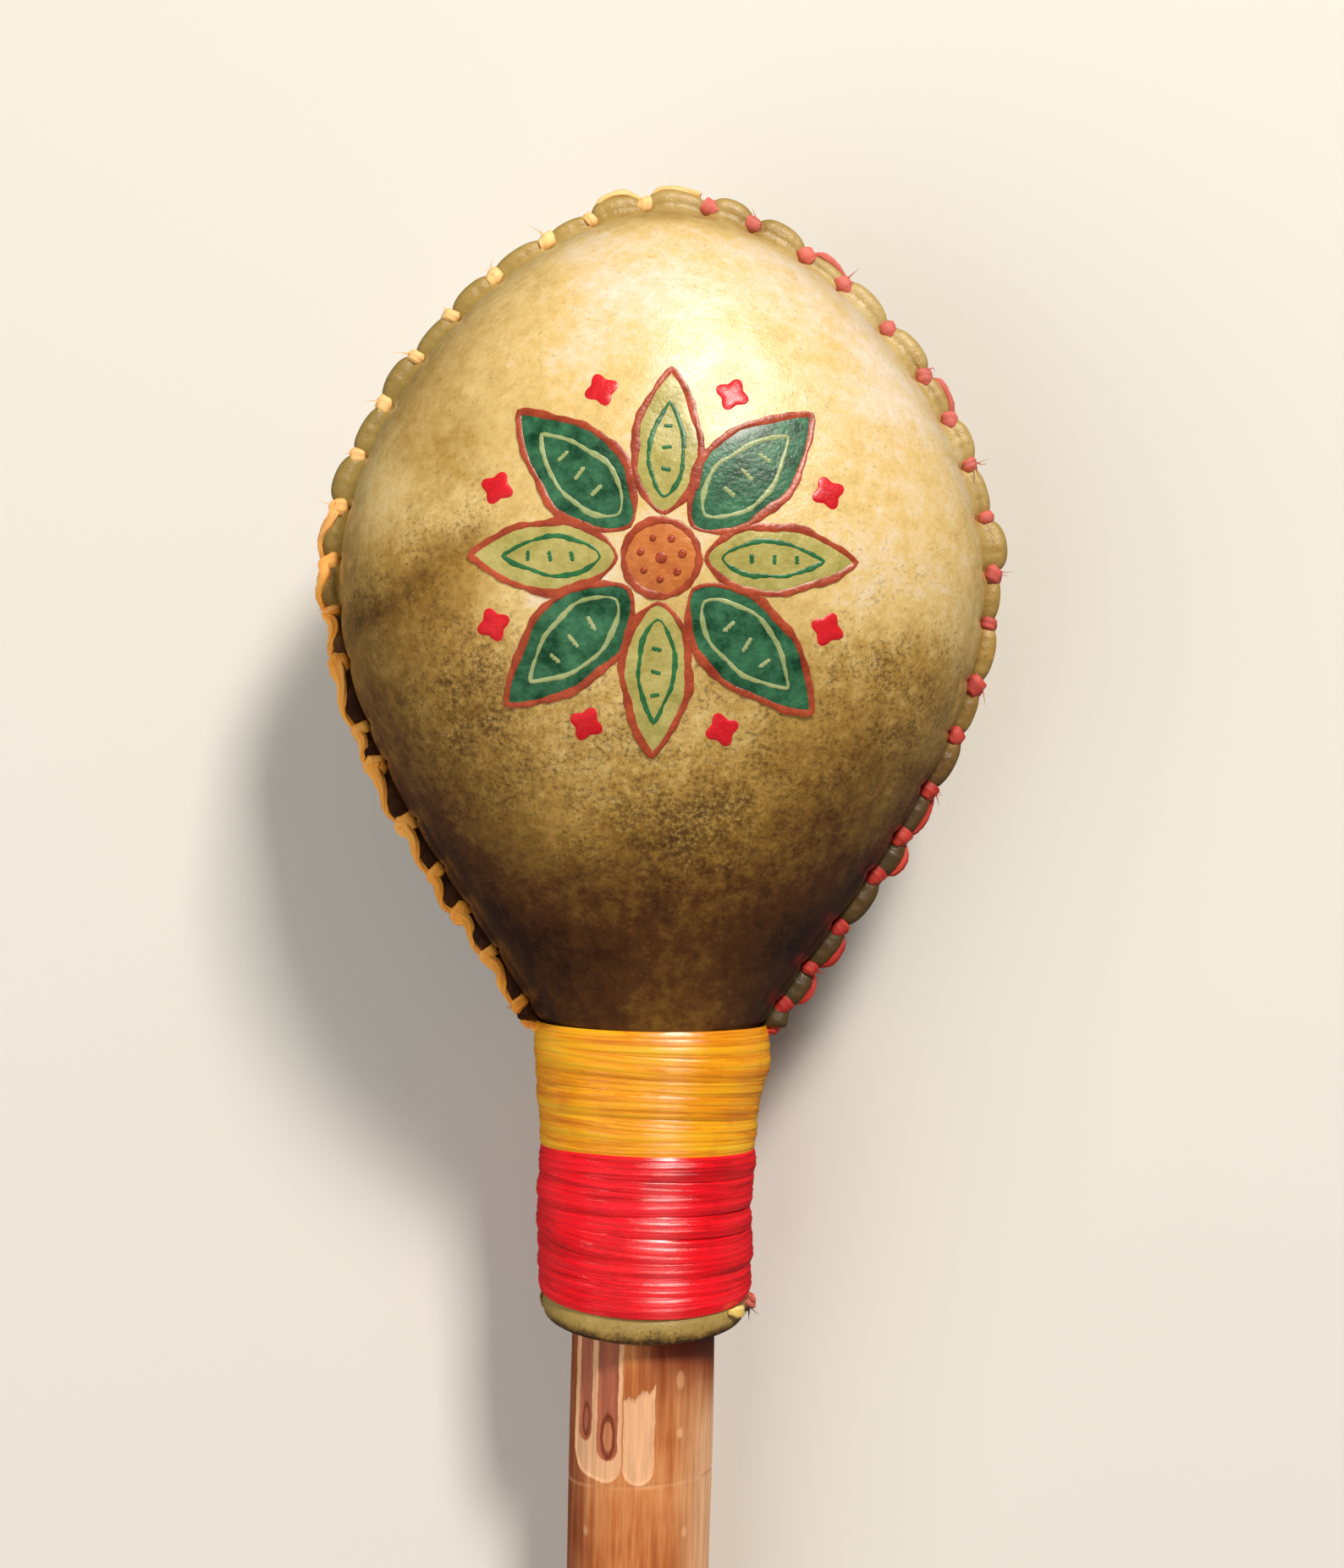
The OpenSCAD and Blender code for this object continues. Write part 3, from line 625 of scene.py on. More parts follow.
def thread_knot():
    """The red knot: a trefoil-knotted thread pulled tight against the collar's right side."""
    f = np.linspace(0, 2 * np.pi, 90)
    r = KNOT_R * (0.55 + 0.45 * np.cos(3 * f))
    middle_y = HANDLE_OUT + COLLAR_TONGUE + 2.0
    middle_x = outer_half_w(middle_y) + NECK_RIDGE + 0.8
    path = join(middle_x + 0.55 * np.sin(3 * f), middle_y + r * np.cos(2 * f), r * np.sin(2 * f))
    return sweep(path, (1.0, 0.0, 0.0), 0.55, 0.5, lobes=0.12)


def fibre(start, direction, length, curl, radius):
    """A loose hair of thread: a thin tube that bends by a quadratic as it leaves its start."""
    f = np.linspace(0, 1, 9)[:, None]
    path = start + length * f * unit(direction) + length * f ** 2 * curl
    taper = radius * (1.1 - f[:, 0])
    return sweep(path, (0.21, 0.33, 0.92), taper, taper, sides=5)


def stitch_frays(right, stitches):
    """Frayed ends at some stitches: four fibres each, standing off the edge."""
    grids = []
    for s in STITCH_S[int(right)][list(stitches)]:
        t = (SEAM_LENGTH - s) * (1 if right else -1)
        at, normal = seam_at(t), seam_normal(t)
        for _ in range(4):
            start = (*(at + rng.uniform(1.2, 3.0) * normal), 1.9)
            direction = (*(normal + rng.normal(0, 0.7, 2)), rng.uniform(0.1, 0.9))
            grids.append(fibre(start, direction, rng.uniform(0.9, 2.2), rng.normal(0, 0.4, 3), 0.12))
    return grids


def knot_frays():
    """The knot's cut ends: a tuft of fibres that hangs down and out from it."""
    tuft, hang = (16.6, HANDLE_OUT + 4.4, 0.9), (0.1, -1, 0.5)
    return [fibre(tuft, rng.normal(0, 0.35, 3) + hang, rng.uniform(1.0, 2.2), rng.normal(0, 0.3, 3), 0.13)
            for _ in range(14)]


# Stick

# Knife cuts: middles by the arc from the stick's front line, to the left below 0
SCOOP_U, LEFT_STROKE_U, RIGHT_STROKE_U, ALMOND_U, PARING_U = -8.1, -10.5, -5.75, -5.7, -0.25
SCORE_W, BARK_INSET = 0.3, 0.16     # the inset keeps the swellings close to the solid


def slot_inside(u, up, centre, radius, low):
    """How far inside an upright slot with a round lower end a place is, in mm, by its arc and height."""
    return radius - np.hypot(u - centre, np.maximum(low + radius - up, 0))


def almond_inside(u, up, centre, half_w, half_h):
    """How far inside an upright ellipse a place is, 1 at its middle and 0 on its rim."""
    return 1 - np.hypot((u - centre[0]) / half_w, (up - centre[1]) / half_h)


def knife_cuts(angle, y):
    """How far inside each cut a place is, in mm: a wide scoop with a slanting round end, two deeper strokes
    in it, the almond in the right one, and a flat paring beside it with a ragged top."""
    up = y - SCORE_Y
    u = angle * HANDLE_R + 0.05 * np.sin(1.1 * y) + 0.03 * np.sin(2.9 * y)
    beyond = np.maximum(np.abs(u - SCOOP_U) - 1.4, 0)
    scoop = 3.7 - np.hypot(beyond, np.maximum(4.3 - 0.2 * (u - SCOOP_U) - up, 0))
    left, right = slot_inside(u, up, LEFT_STROKE_U, 1.65, 6.2), slot_inside(u, up, RIGHT_STROKE_U, 1.95, 3.7)
    almond = 1.2 * almond_inside(u, up, (ALMOND_U, 7.4), 1.2, 3.2)
    ragged = 14.6 + 0.5 * u + 0.4 * np.sin(2.7 * u + 1) + 0.15 * np.sin(9 * u) - up
    paring = np.minimum(slot_inside(u, up, PARING_U, 2.55, 0.2), ragged)
    return scoop, np.maximum(left, right), almond, paring


def cut_depth(angle, y):
    """Depth of the knife cuts in mm, each step rounded off over half a millimetre."""
    scoop, strokes, almond, paring = knife_cuts(angle, y)
    return (0.18 * smoothstep(0, 0.6, scoop) + 0.24 * smoothstep(0, 0.7, strokes)
            + 0.1 * smoothstep(0, 0.4, almond) + 0.2 * smoothstep(0, 0.6, paring))


def on_score(angle, y):
    """1 on the scored ring, which a hand drew a little aslant, fading to 0 beside it."""
    return bell(y - SCORE_Y - 0.9 * np.sin(angle), SCORE_W)


def stick():
    """The stick: a grid of angle and height whose radius is the stick's, with slow swellings, fine upright
    ridges of bark, the scored ring and the knife cuts; both ends are chamfered and closed."""
    angle = np.r_[np.linspace(-np.pi, -1.5, 40)[:-1], np.linspace(-1.5, 0.7, 230),
                  np.linspace(0.7, np.pi, 60)[1:]]
    y = np.r_[np.linspace(END_CHAMFER, SCORE_Y - 2, 60), np.linspace(SCORE_Y - 1.8, HANDLE_OUT + 4, 160),
              np.linspace(HANDLE_OUT + 5, HANDLE_LENGTH - END_CHAMFER, 30)][:, None]
    swell = 0.14 * np.sin(y / 23 + 1) * np.cos(angle + 0.4) + 0.08 * np.sin(y / 9 + 2 * angle)
    ridges = 0.03 * np.sin(31 * angle + 1.2 * np.sin(y / 13))
    ridges = ridges + 0.02 * np.sin(53 * angle + 2 * np.sin(y / 19 + 1))
    shown = 1 - smoothstep(HANDLE_OUT + 1, HANDLE_OUT + 6, y)
    cuts = cut_depth(angle, y) * shown
    relief = (swell + ridges * (1 - smoothstep(0.05, 0.15, cuts))) * shown - BARK_INSET
    scored = (0.05 + 0.04 * np.sin(4 * angle + 1)) * on_score(angle, y)
    cap = np.array((0.0, 0.35, 0.7, 1.0))[:, None] * (HANDLE_R - END_CHAMFER - 0.2)
    rings = ((cap, 0.0), (HANDLE_R + relief - scored - cuts, y), (cap[::-1], HANDLE_LENGTH))
    grid = np.concatenate([join(r * np.sin(angle), height, r * np.cos(angle)) for r, height in rings])
    along = np.concatenate((-cap, y, HANDLE_LENGTH + cap))
    return grid, join(angle * HANDLE_R, along) * MM


def stick_layer(x, y, z):
    """Which layer of the stick shows: 0 bark, 0.25 pale inner bark, 0.55 red-brown, 0.75 the dark line
    round the almond, 0.95 pale wood."""
    angle = np.arctan2(x, z)
    u, up = angle * HANDLE_R, y - SCORE_Y
    scoop, strokes, almond, paring = knife_cuts(angle, y)
    layer = 0.25 * smoothstep(-0.06, 0.1, np.maximum(scoop, paring)) + 0.3 * smoothstep(-0.1, 0.12, strokes)
    tip = almond_inside(u, up, (LEFT_STROKE_U, 9.5), 0.9, 2.6) - 0.1
    layer += (0.2 * bell(almond, 0.22) + 0.17 * bell(tip, 0.25)) * (strokes > 0)
    wood = smoothstep(0.2, 0.36, almond)
    layer = layer * (1 - wood) + 0.95 * wood
    knot = almond_inside(u, up, (6.5, 16.6), 1.0, 1.9)
    # Paler spots: a knot scar and the scored ring, and painted light down the right side below the collar
    scars_and_painted_light = 0.12 * smoothstep(0, 0.5, knot) + 0.24 * smoothstep(0.3, 1.2, angle) * smoothstep(110, 98, y)
    scars_and_painted_light += (0.09 + 0.04 * np.sin(5 * angle + 1) + 0.03 * np.sin(13 * angle)) * on_score(angle, y)
    return np.maximum(layer * (up > -1) * (y < HANDLE_OUT + 5), scars_and_painted_light)


def stick_stain(x, y, z):
    """How far the bark is darkened to red-brown, 0 to 1: painted shade along its left side and a painted
    shadow under the collar.
    """
    angle = np.arctan2(x, z)
    # Painted shade down the left side, painted shadow under the collar
    left = 0.55 * smoothstep(-0.45, -1.2, angle) * smoothstep(-2.6, -2.0, angle)
    under = np.exp(-(np.maximum(HANDLE_OUT - y, 0) / 8) ** 1.5) * smoothstep(-0.15, 0.25, angle)
    return np.maximum(left, under)


def stick_end(x, y, z):
    """1 on the sawn ends of the stick, 0 on its bark."""
    return smoothstep(0.9, 0.3, np.minimum(y, HANDLE_LENGTH - y))


# Painted rosette

ROSETTE = (0.0, 233.5)
PETALS, PETAL_ROOT = 8, 6.5
# Petals in turn: their fill, the lines on it, their reach and their half width
PETAL_KINDS = (("pale_olive", "line_green", 28.5, 5.1), ("dark_green", "line_pale", 31.0, 6.2))
OUTLINE_W, LINE_W, LINE_INSET = 1.15, 0.8, 2.4
DIAMOND_AT, DIAMOND_R = 26.5, 2.7
DISC_R, RING_R, RING_W, BOSS_R = 5.4, 5.5, 1.1, 1.1
SPOTS, SPOT_AT, SPOT_R = 7, 3.1, 0.7
PAINT_T, PAINT_SUNK = 0.16, 0.25
PAINTS = {
    "dark_green": ("#0c3f24", "#3f7a55"), "pale_olive": ("#a09648", "#c2b56c"),
    "brick": ("#8a3018", "#b8502e"), "orange": ("#b9602c", "#d2813e"), "red": ("#c8101c", "#e0202a"),
    "line_green": ("#1d5a30", "#357a45"), "line_pale": ("#8f9c62", "#aab37c"),
}


def on_front(x, y, over):
    """Points over the front's surface by a small height."""
    return join(x, y, front_height(x, y) + over)


def petal_outline(f, wide, waver):
    """Half width of a petal along its length, 0 to 1: a skewed sine arch, unsteady as a hand's is."""
    unsteady = 1 + 0.045 * np.sin(8 * f + waver) + 0.03 * np.sin(17 * f + 2.3 * waver)
    return wide * np.sin(np.pi * f ** 0.82) ** 0.8 * unsteady


def petal_point(turn, along, aside=0.0):
    """Place on the front of a petal's own length and width coordinates."""
    c, s = np.cos(turn), np.sin(turn)
    return ROSETTE[0] + along * c - aside * s, ROSETTE[1] + along * s + aside * c


def petal(turn, reach, wide, waver):
    """A painted petal: a thin closed film, its top thickest in the middle and sunk in at its rim, its
    underside just below the front's surface."""
    f = np.linspace(0.001, 0.999, 40)[:, None]
    a = np.linspace(-1, 1, 21)
    along = PETAL_ROOT + (reach - PETAL_ROOT) * f
    x, y = petal_point(turn, along, a * petal_outline(f, wide, waver + np.sign(a)))
    over = PAINT_T * (1 - a ** 6) * np.sin(np.pi * f) ** 0.3 - 0.04
    top, under = on_front(x, y, over), on_front(x, y, np.minimum(over, 0) - PAINT_SUNK)
    film = np.concatenate((top, under[:, ::-1], top[:, :1]), axis=1)
    ends = [np.concatenate((row, row[:, ::-1], row[:, :1]), axis=1) for row in (top[:1], top[-1:])]
    film = np.concatenate((ends[0], film, ends[1]))
    return film, film[..., :2] * MM


def petal_line(turn, reach, wide, inset, waver):
    """Both edges of a petal drawn in by an inset, from its root round the tip and back."""
    f = np.linspace(0, 1, 60)
    f = np.r_[f, f[-2::-1]]
    sign = np.r_[np.ones(60), -np.ones(59)]
    along = PETAL_ROOT + inset + (reach - PETAL_ROOT - 2 * inset) * f
    return petal_point(turn, along, sign * petal_outline(f, wide - inset, waver + sign))


def brush_stroke(x, y, width, high=0.12):
    """A stroke of paint along a line on the front: a low rounded ridge, fading at both ends."""
    f = np.linspace(0, 1, len(x))
    taper = np.clip(np.minimum(f, 1 - f) * 14, 0.25, 1) ** 0.5
    uneven = 1 + 0.2 * np.sin(19 * f + rng.uniform(0, 6)) + 0.14 * np.sin(47 * f + rng.uniform(0, 6))
    uneven = uneven + 0.12 * np.sin(113 * f + 1)
    return sweep(on_front(x, y, 0.05), (0.0, 0.0, 1.0), width / 2 * taper * uneven, high * taper, sides=10)


def round_dot(centre, radius, corners=0, turn=0.0, high=0.5):
    """A dot of paint: rings out from its middle, domed and sunk in at its rim; round, or drawn in between
    its corners by a cosine."""
    r = np.linspace(0, 1, 10)[:, None]
    a = np.linspace(0, 2 * np.pi, 65)
    reach = radius * (1 - 0.16 * (1 - np.cos(corners * (a - turn))))
    x, y = centre[0] + reach * r * np.cos(a), centre[1] + reach * r * np.sin(a)
    film = np.concatenate((on_front(x, y, high * (1 - r ** 4) - 0.05), on_front(x, y, -PAINT_SUNK)[::-1]))
    return film, film[..., :2] * MM


def rosette():
    """A ring of eight petals, dark and pale in turn, each outlined and with a smaller petal drawn inside it,
    round a ringed disc, with a diamond beyond each gap. Returns the grids of each colour."""
    grids = {name: [] for name in PAINTS}
    for k in range(PETALS):
        turn = np.pi / 2 + k * 2 * np.pi / PETALS + rng.uniform(-0.03, 0.03)
        fill, line, reach, wide = PETAL_KINDS[k % 2]
        reach, wide = reach * rng.uniform(0.97, 1.02), wide * rng.uniform(0.95, 1.03)
        waver = rng.uniform(0, 2 * np.pi)
        grids[fill].append(petal(turn, reach, wide, waver))
        grids["brick"].append(brush_stroke(*petal_line(turn, reach, wide, 0.0, waver), OUTLINE_W))
        inner = petal_line(turn, reach - 2.5, wide, LINE_INSET, waver + 2)
        grids[line].append(brush_stroke(*inner, LINE_W))
        for start in (0.3, 0.45, 0.6):
            across = np.linspace(-1, 1, 12) * 0.3 * petal_outline(start, wide - LINE_INSET, waver)
            along = PETAL_ROOT + (reach - PETAL_ROOT) * start + across * rng.uniform(-0.25, 0.25)
            grids[line].append(brush_stroke(*petal_point(turn, along, across), LINE_W))
        gap = turn + np.pi / PETALS
        grids["red"].append(round_dot(petal_point(gap, DIAMOND_AT), DIAMOND_R, corners=4, turn=gap, high=0.3))
    grids["orange"].append(round_dot(ROSETTE, DISC_R, high=0.3))
    ring = petal_point(np.linspace(0, 2.1 * np.pi, 84), RING_R)
    grids["brick"] += [brush_stroke(*ring, RING_W, 0.14), round_dot(ROSETTE, BOSS_R)]
    for turn in np.arange(SPOTS) * 2 * np.pi / SPOTS + 0.2:
        grids["brick"].append(round_dot(petal_point(turn, SPOT_AT), SPOT_R * rng.uniform(0.85, 1.15)))
    return grids


# Pebbles

PEBBLE_HALF = (4.0, 4.0, 2.75)


def pebble(node):
    """A river pebble: a sphere squashed to the solid's size, with a few slow bulges."""
    centre = unplace(np.array(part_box(node))).mean(axis=0)
    u = np.linspace(0, np.pi, 25)[:, None]
    v = np.linspace(0, 2 * np.pi, 41)
    phases = rng.uniform(0, 2 * np.pi, 4)
    bulge = 0.05 * np.sin(2 * v + phases[0]) + 0.04 * np.cos(3 * u + phases[1])
    size = PEBBLE_HALF * rng.uniform(0.86, 1.0, 3)
    ball = join(np.sin(u) * np.cos(v), np.sin(u) * np.sin(v), np.cos(u))
    return centre + (0.94 + bulge * np.sin(u) ** 2)[..., None] * ball * size, None


# Materials


def linear(hex_colour):
    """sRGB hex to linear RGBA."""
    c = np.array([int(hex_colour[i:i + 2], 16) for i in (1, 3, 5)]) / 255
    c = np.where(c <= 0.04045, c / 12.92, ((c + 0.055) / 1.055) ** 2.4)
    return (*c, 1.0)


def feed(tree, node, inputs):
    """Sets a node's inputs, by name or in order, each to a value or to another node's output."""
    for key, value in inputs.items() if isinstance(inputs, dict) else enumerate(inputs):
        if isinstance(value, bpy.types.NodeSocket):
            tree.links.new(value, node.inputs[key])
        else:
            node.inputs[key].default_value = value


def add(tree, kind, inputs=(), stops=(), out=0, **settings):
    """Adds a node, its kind named without ShaderNode, and returns one of its outputs. Settings are its
    properties, inputs go to feed(), and stops are a ramp's places and colours, its two ends first. A map
    range takes a value, the range it comes from and the one it goes to; a colour mix takes its share at 0 and
    its colours at 6 and 7, and gives the result at 2."""
    made = tree.nodes.new("ShaderNode" + kind)
    for key, value in settings.items():
        setattr(made, key, value)
    feed(tree, made, inputs)
    for i, (at, colour) in enumerate(stops):
        ramp = made.color_ramp.elements
        stop = ramp[i] if i < 2 else ramp.new(at)
        stop.position, stop.color = at, linear(colour)
    return made.outputs[out]


def start_material(name):
    """A material, with what adds a node to it and what feeds its shader."""
    material = bpy.data.materials.new(name)
    material.use_nodes = True
    tree = material.node_tree
    return material, partial(add, tree), partial(feed, tree, tree.nodes["Principled BSDF"])


def rawhide_material():
    """Dried rawhide: cream to olive-brown in cloudy patches with dark follicles, scraped smooth and waxy."""
    material, node, surface = start_material("rawhide")
    at = node("TexCoord", out="Object")
    # tone holds the hide's own darkness together with painted shade and light
    tone, thick, aged, edge = (node("Attribute", attribute_name=name, out="Fac")
                               for name in ("tone", "speckle", "olive", "edge"))
    clouds, grit, mottle, pores, patchy = (
        node("TexNoise", {"Vector": at, "Scale": 1 / (size * MM), "Detail": detail, "Roughness": rough})
        for size, detail, rough in ((22, 6, 0.6), (3.5, 4, 0.7), (1.8, 5, 0.75), (0.7, 3, 0.75), (6, 4, 0.5)))
    shade = tone
    for cloud, depth in ((clouds, 0.52), (grit, 0.3)):
        swing = node("Math", (cloud, depth, -depth / 2), operation="MULTIPLY_ADD")
        shade = node("Math", (shade, swing), operation="ADD")
    # Mottling of a millimetre or two, strongest where the follicles show
    centred = node("Math", (mottle, 0.5), operation="SUBTRACT")
    depth = node("Math", (thick, 0.6, 0.12), operation="MULTIPLY_ADD")
    shade = node("Math", (centred, depth, shade), operation="MULTIPLY_ADD")
    colour = node("ValToRGB", (shade,), stops=(
        (0.0, "#f3e2cd"), (1.0, "#341602"), (0.2, "#e6c67e"), (0.42, "#bc9444"), (0.62, "#8e6720"),
        (0.82, "#5c3408")))
    # Follicles, irregular dark specks of about half a millimetre, and pale scuffs as small between them,
    # both thinned out where few show
    dense = node("Math", (thick, patchy), operation="MULTIPLY")
    specks, scuffs = (
        node("MapRange", (node("Math", (dense, by, pores), operation="MULTIPLY_ADD"), none, full, 0, most))
        for by, none, full, most in ((0.42, 0.66, 0.88, 0.7), (-0.32, 0.27, 0.1, 0.6)))
    for amount, over in ((aged, "#8a7c42"), (specks, "#3a2410"), (scuffs, "#bfa05a")):
        colour = node("Mix", {0: amount, 6: colour, 7: linear(over)}, data_type="RGBA", out=2)
    # The wax is thin on the sewn edge, so it is dull and its pits show there
    rough = node("MapRange", (clouds, 0, 1, 0.36, 0.56))
    dull, wax, worn = (node("Math", (edge, change, start), operation="MULTIPLY_ADD")
                       for change, start in ((0.28, rough), (-0.85, 1.0), (0.6, 0.4)))
    grain, pits = (node("Bump", {"Height": pores, "Strength": strength, "Distance": deep * MM})
                   for strength, deep in ((0.4, 0.2), (worn, 0.3)))
    surface({"Base Color": colour, "Roughness": dull, "IOR": 1.42, "Normal": grain, "Coat Weight": wax,
             "Coat Roughness": 0.35, "Coat IOR": 1.6, "Coat Normal": pits, "Subsurface Weight": 0.08,
             "Subsurface Scale": 0.003})
    return material


def waxed_fibre(name, dark, middle, light, roughness, silk=0.0, worn=None):
    """Waxed split fibre: flat strands with fine lengthwise streaks, dark splits, smudges and an oily shine
    that the strands spread across themselves; worn is a paler colour it goes to by an attribute of that name."""
    material, node, surface = start_material(name)
    uv, at = (node("TexCoord", out=kind) for kind in ("UV", "Object"))
    stretched = (node("Mapping", {"Vector": uv, "Scale": (1 / (long * MM), 1 / (wide * MM), 1.0)})
                 for long, wide in ((14, 0.3), (25, 1.6)))
    fine, broad = (node("TexNoise", {"Vector": along, "Scale": 1.0, "Detail": detail, "Roughness": rough})
                   for along, detail, rough in zip(stretched, (5, 3), (0.65, 0.5)))
    both = node("Math", (fine, 1 - 0.3 * silk), operation="MULTIPLY")
    both = node("Math", (broad, 1 + 0.3 * silk, both), operation="MULTIPLY_ADD")
    spread = node("MapRange", (both, 0.7, 1.3))
    colour = node("ValToRGB", (spread,), stops=((0.0, dark), (1.0, light), (0.45, middle)))
    # Splits: thin lines where the broad streaks pass through their middle value
    line = node("Math", (broad, 0.47, 0.012), operation="COMPARE")
    split = node("Math", (line, 0.4), operation="MULTIPLY")
    cloud = node("TexNoise", {"Vector": at, "Scale": 1 / (6 * MM), "Detail": 4})
    smudge = node("MapRange", (cloud, 0.54, 0.7, 0, 0.4))
    layers = [(split, dark), (smudge, dark)]
    # A paler colour by the worn attribute: partly wear, and where it grows towards the crown partly painted
    # light
    if worn:
        layers.append((node("Attribute", attribute_name="worn", out="Fac"), worn))
    for amount, over in layers:
        colour = node("Mix", {0: amount, 6: colour, 7: linear(over)}, data_type="RGBA", out=2)
    rough = node("MapRange", (fine, 0, 1, roughness - 0.1, roughness + 0.12))
    relief = node("Math", (split, -0.5, both), operation="MULTIPLY_ADD")
    bump = node("Bump", {"Height": relief, "Strength": 0.6, "Distance": 0.2 * MM})
    strand = node("Tangent", direction_type="UV_MAP", uv_map="UVMap")
    surface({"Base Color": colour, "Roughness": rough, "IOR": 1.55 + 0.1 * silk, "Normal": bump,
             "Specular IOR Level": 0.5 + 0.5 * silk, "Anisotropic": silk, "Anisotropic Rotation": 0.25,
             "Tangent": strand, "Coat Weight": 0.3 * silk, "Coat Roughness": 0.25})
    return material


def bark_material():
    """Thin red-brown bark with upright grain and pale pores; where a knife went through it shows pale inner
    bark, a red-brown layer and pale wood, each by its depth; the sawn ends show rings."""
    material, node, surface = start_material("hazel_bark")
    uv, at = (node("TexCoord", out=kind) for kind in ("UV", "Object"))
    stain, layer, sawn = (node("Attribute", attribute_name=name, out="Fac")
                          for name in ("stain", "layer", "end"))
    upright, spots = (node("Mapping", {"Vector": uv, "Scale": (1 / (wide * MM), 1 / (tall * MM), 1.0)})
                      for wide, tall in ((1.1, 20), (6, 9)))
    grain = node("TexNoise", {"Vector": upright, "Scale": 1.0, "Detail": 6, "Roughness": 0.62})
    clouds = node("TexNoise", {"Vector": at, "Scale": 1 / (18 * MM), "Detail": 3})
    both = node("Math", (grain, clouds), operation="ADD")
    spread = node("MapRange", (both, 0.68, 1.34))
    colour = node("ValToRGB", (spread,), stops=(
        (0.0, "#843e18"), (1.0, "#e6a872"), (0.4, "#ba6a34"), (0.7, "#d48a52")))
    # Pores: sparse pale spots, taller than wide
    cells = node("TexVoronoi", {"Vector": spots, "Scale": 1.0}, out="Distance")
    pore = node("MapRange", (cells, 0.12, 0.05, 0, 0.8))
    # Cut layers, streaked along the grain
    layers = node("ValToRGB", (layer,), stops=(
        (0.1, "#e0a676"), (1.0, "#cf8658"), (0.25, "#ecb486"), (0.4, "#d08c62"), (0.53, "#b2664a"),
        (0.62, "#a4573a"), (0.75, "#742e14"), (0.88, "#b46c46")))
    dull = node("MapRange", (grain, 0.35, 0.65, 0.78, 1.12))
    streaked = node("Mix", {0: 1.0, 6: layers, 7: dull}, data_type="RGBA", blend_type="MULTIPLY", out=2)
    is_cut = node("MapRange", (layer, 0.02, 0.22))
    # Sawn ends: pale wood with rings about 1.2 mm apart
    rings = node("TexWave", {"Vector": uv, "Scale": 1 / (1.2 * MM) / 20, "Distortion": 1.5, "Detail": 3},
                 wave_type="BANDS", bands_direction="Y", out="Fac")
    wood = node("ValToRGB", (rings,), stops=((0.0, "#c79a66"), (1.0, "#e2bf8e")))
    # Pale for the pores, dark red-brown for the painted shade and shadow
    pale, dark = linear("#eebb8a"), linear("#76240a")
    for amount, over in ((pore, pale), (stain, dark), (is_cut, streaked), (sawn, wood)):
        colour = node("Mix", {0: amount, 6: colour, 7: over}, data_type="RGBA", out=2)
    rough = node("MapRange", (grain, 0, 1, 0.42, 0.7))
    bump = node("Bump", {"Height": grain, "Strength": 0.45, "Distance": 0.4 * MM})
    surface({"Base Color": colour, "Roughness": rough, "IOR": 1.46, "Normal": bump})
    return material


def paint_material(name, dark, light):
    """Acrylic paint, brushed on by hand: streaky cover, fine brush ridges and a satin shine."""
    material, node, surface = start_material(name)
    at = node("TexCoord", out="Object")
    streaky = node("TexNoise", {"Vector": at, "Scale": 1 / (4 * MM), "Detail": 6, "Roughness": 0.7})
    spread = node("MapRange", (streaky, 0.36, 0.64))
    colour = node("ValToRGB", (spread,), stops=((0.0, dark), (1.0, light)))
    ridges = node("TexNoise", {"Vector": at, "Scale": 1 / (0.7 * MM), "Detail": 4})
    rough = node("MapRange", (ridges, 0, 1, 0.28, 0.5))
    bump = node("Bump", {"Height": ridges, "Strength": 0.5, "Distance": 0.3 * MM})
    surface({"Base Color": colour, "Roughness": rough, "IOR": 1.5, "Normal": bump, "Coat Weight": 0.2,
             "Coat Roughness": 0.25})
    return material


def pebble_material():
    """River-worn stone: grey with darker grains, matt."""
    material, node, surface = start_material("river_stone")
    at = node("TexCoord", out="Object")
    grains = node("TexNoise", {"Vector": at, "Scale": 1 / (1.5 * MM), "Detail": 6})
    colour = node("ValToRGB", (grains,), stops=((0.3, "#5d5a55"), (0.7, "#a8a49a")))
    rough = node("MapRange", (grains, 0, 1, 0.55, 0.85))
    surface({"Base Color": colour, "Roughness": rough, "IOR": 1.5})
    return material


# Assembly

rawhide = rawhide_material()
yellow_fibre = waxed_fibre("yellow_waxed_fibre", "#d87604", "#ffa600", "#ffc41c", 0.26, silk=1.0)
red_fibre = waxed_fibre("red_waxed_fibre", "#b4000e", "#fa0016", "#ff1428", 0.26, silk=1.0)
yellow_thread = waxed_fibre("yellow_waxed_thread", "#d67c16", "#fba638", "#ffc064", 0.55, worn="#fbe2a4")
red_thread = waxed_fibre("red_waxed_thread", "#90140c", "#bc2a1c", "#d8503a", 0.6, worn="#ffa494")
cut_fibre = waxed_fibre("cut_yellow_fibre", "#e8b444", "#f8d470", "#ffedac", 0.45)
singed = waxed_fibre("singed_red_thread", "#1c0a08", "#4a1410", "#7a2420", 0.6)
bark = bark_material()
stone = pebble_material()

for node_name, is_front in (("front_shell", True), ("rear_shell", False)):
    piece(node_name.replace("shell", "rawhide"), [rawhide_half(is_front)], rawhide, "rawhide",
          nodes=(node_name,), tone=hide_tone, speckle=hide_speckle, olive=hide_olive, edge=sewn_edge)

yellow_line = stitching(False, lambda j: j not in YELLOW_RUNS_BEHIND)
red_line = stitching(True, lambda j: j in RED_RUNS_SHOWN)
# Paler towards the crown, partly wear and partly painted light from above
piece("yellow_thread", [yellow_line] + stitch_frays(False, (0, 4, 8, *range(10, 17))), yellow_thread,
      "yellow_thread", nodes=("yellow_stitching",), worn=lambda x, y, z: 0.55 * smoothstep(222, 262, y))
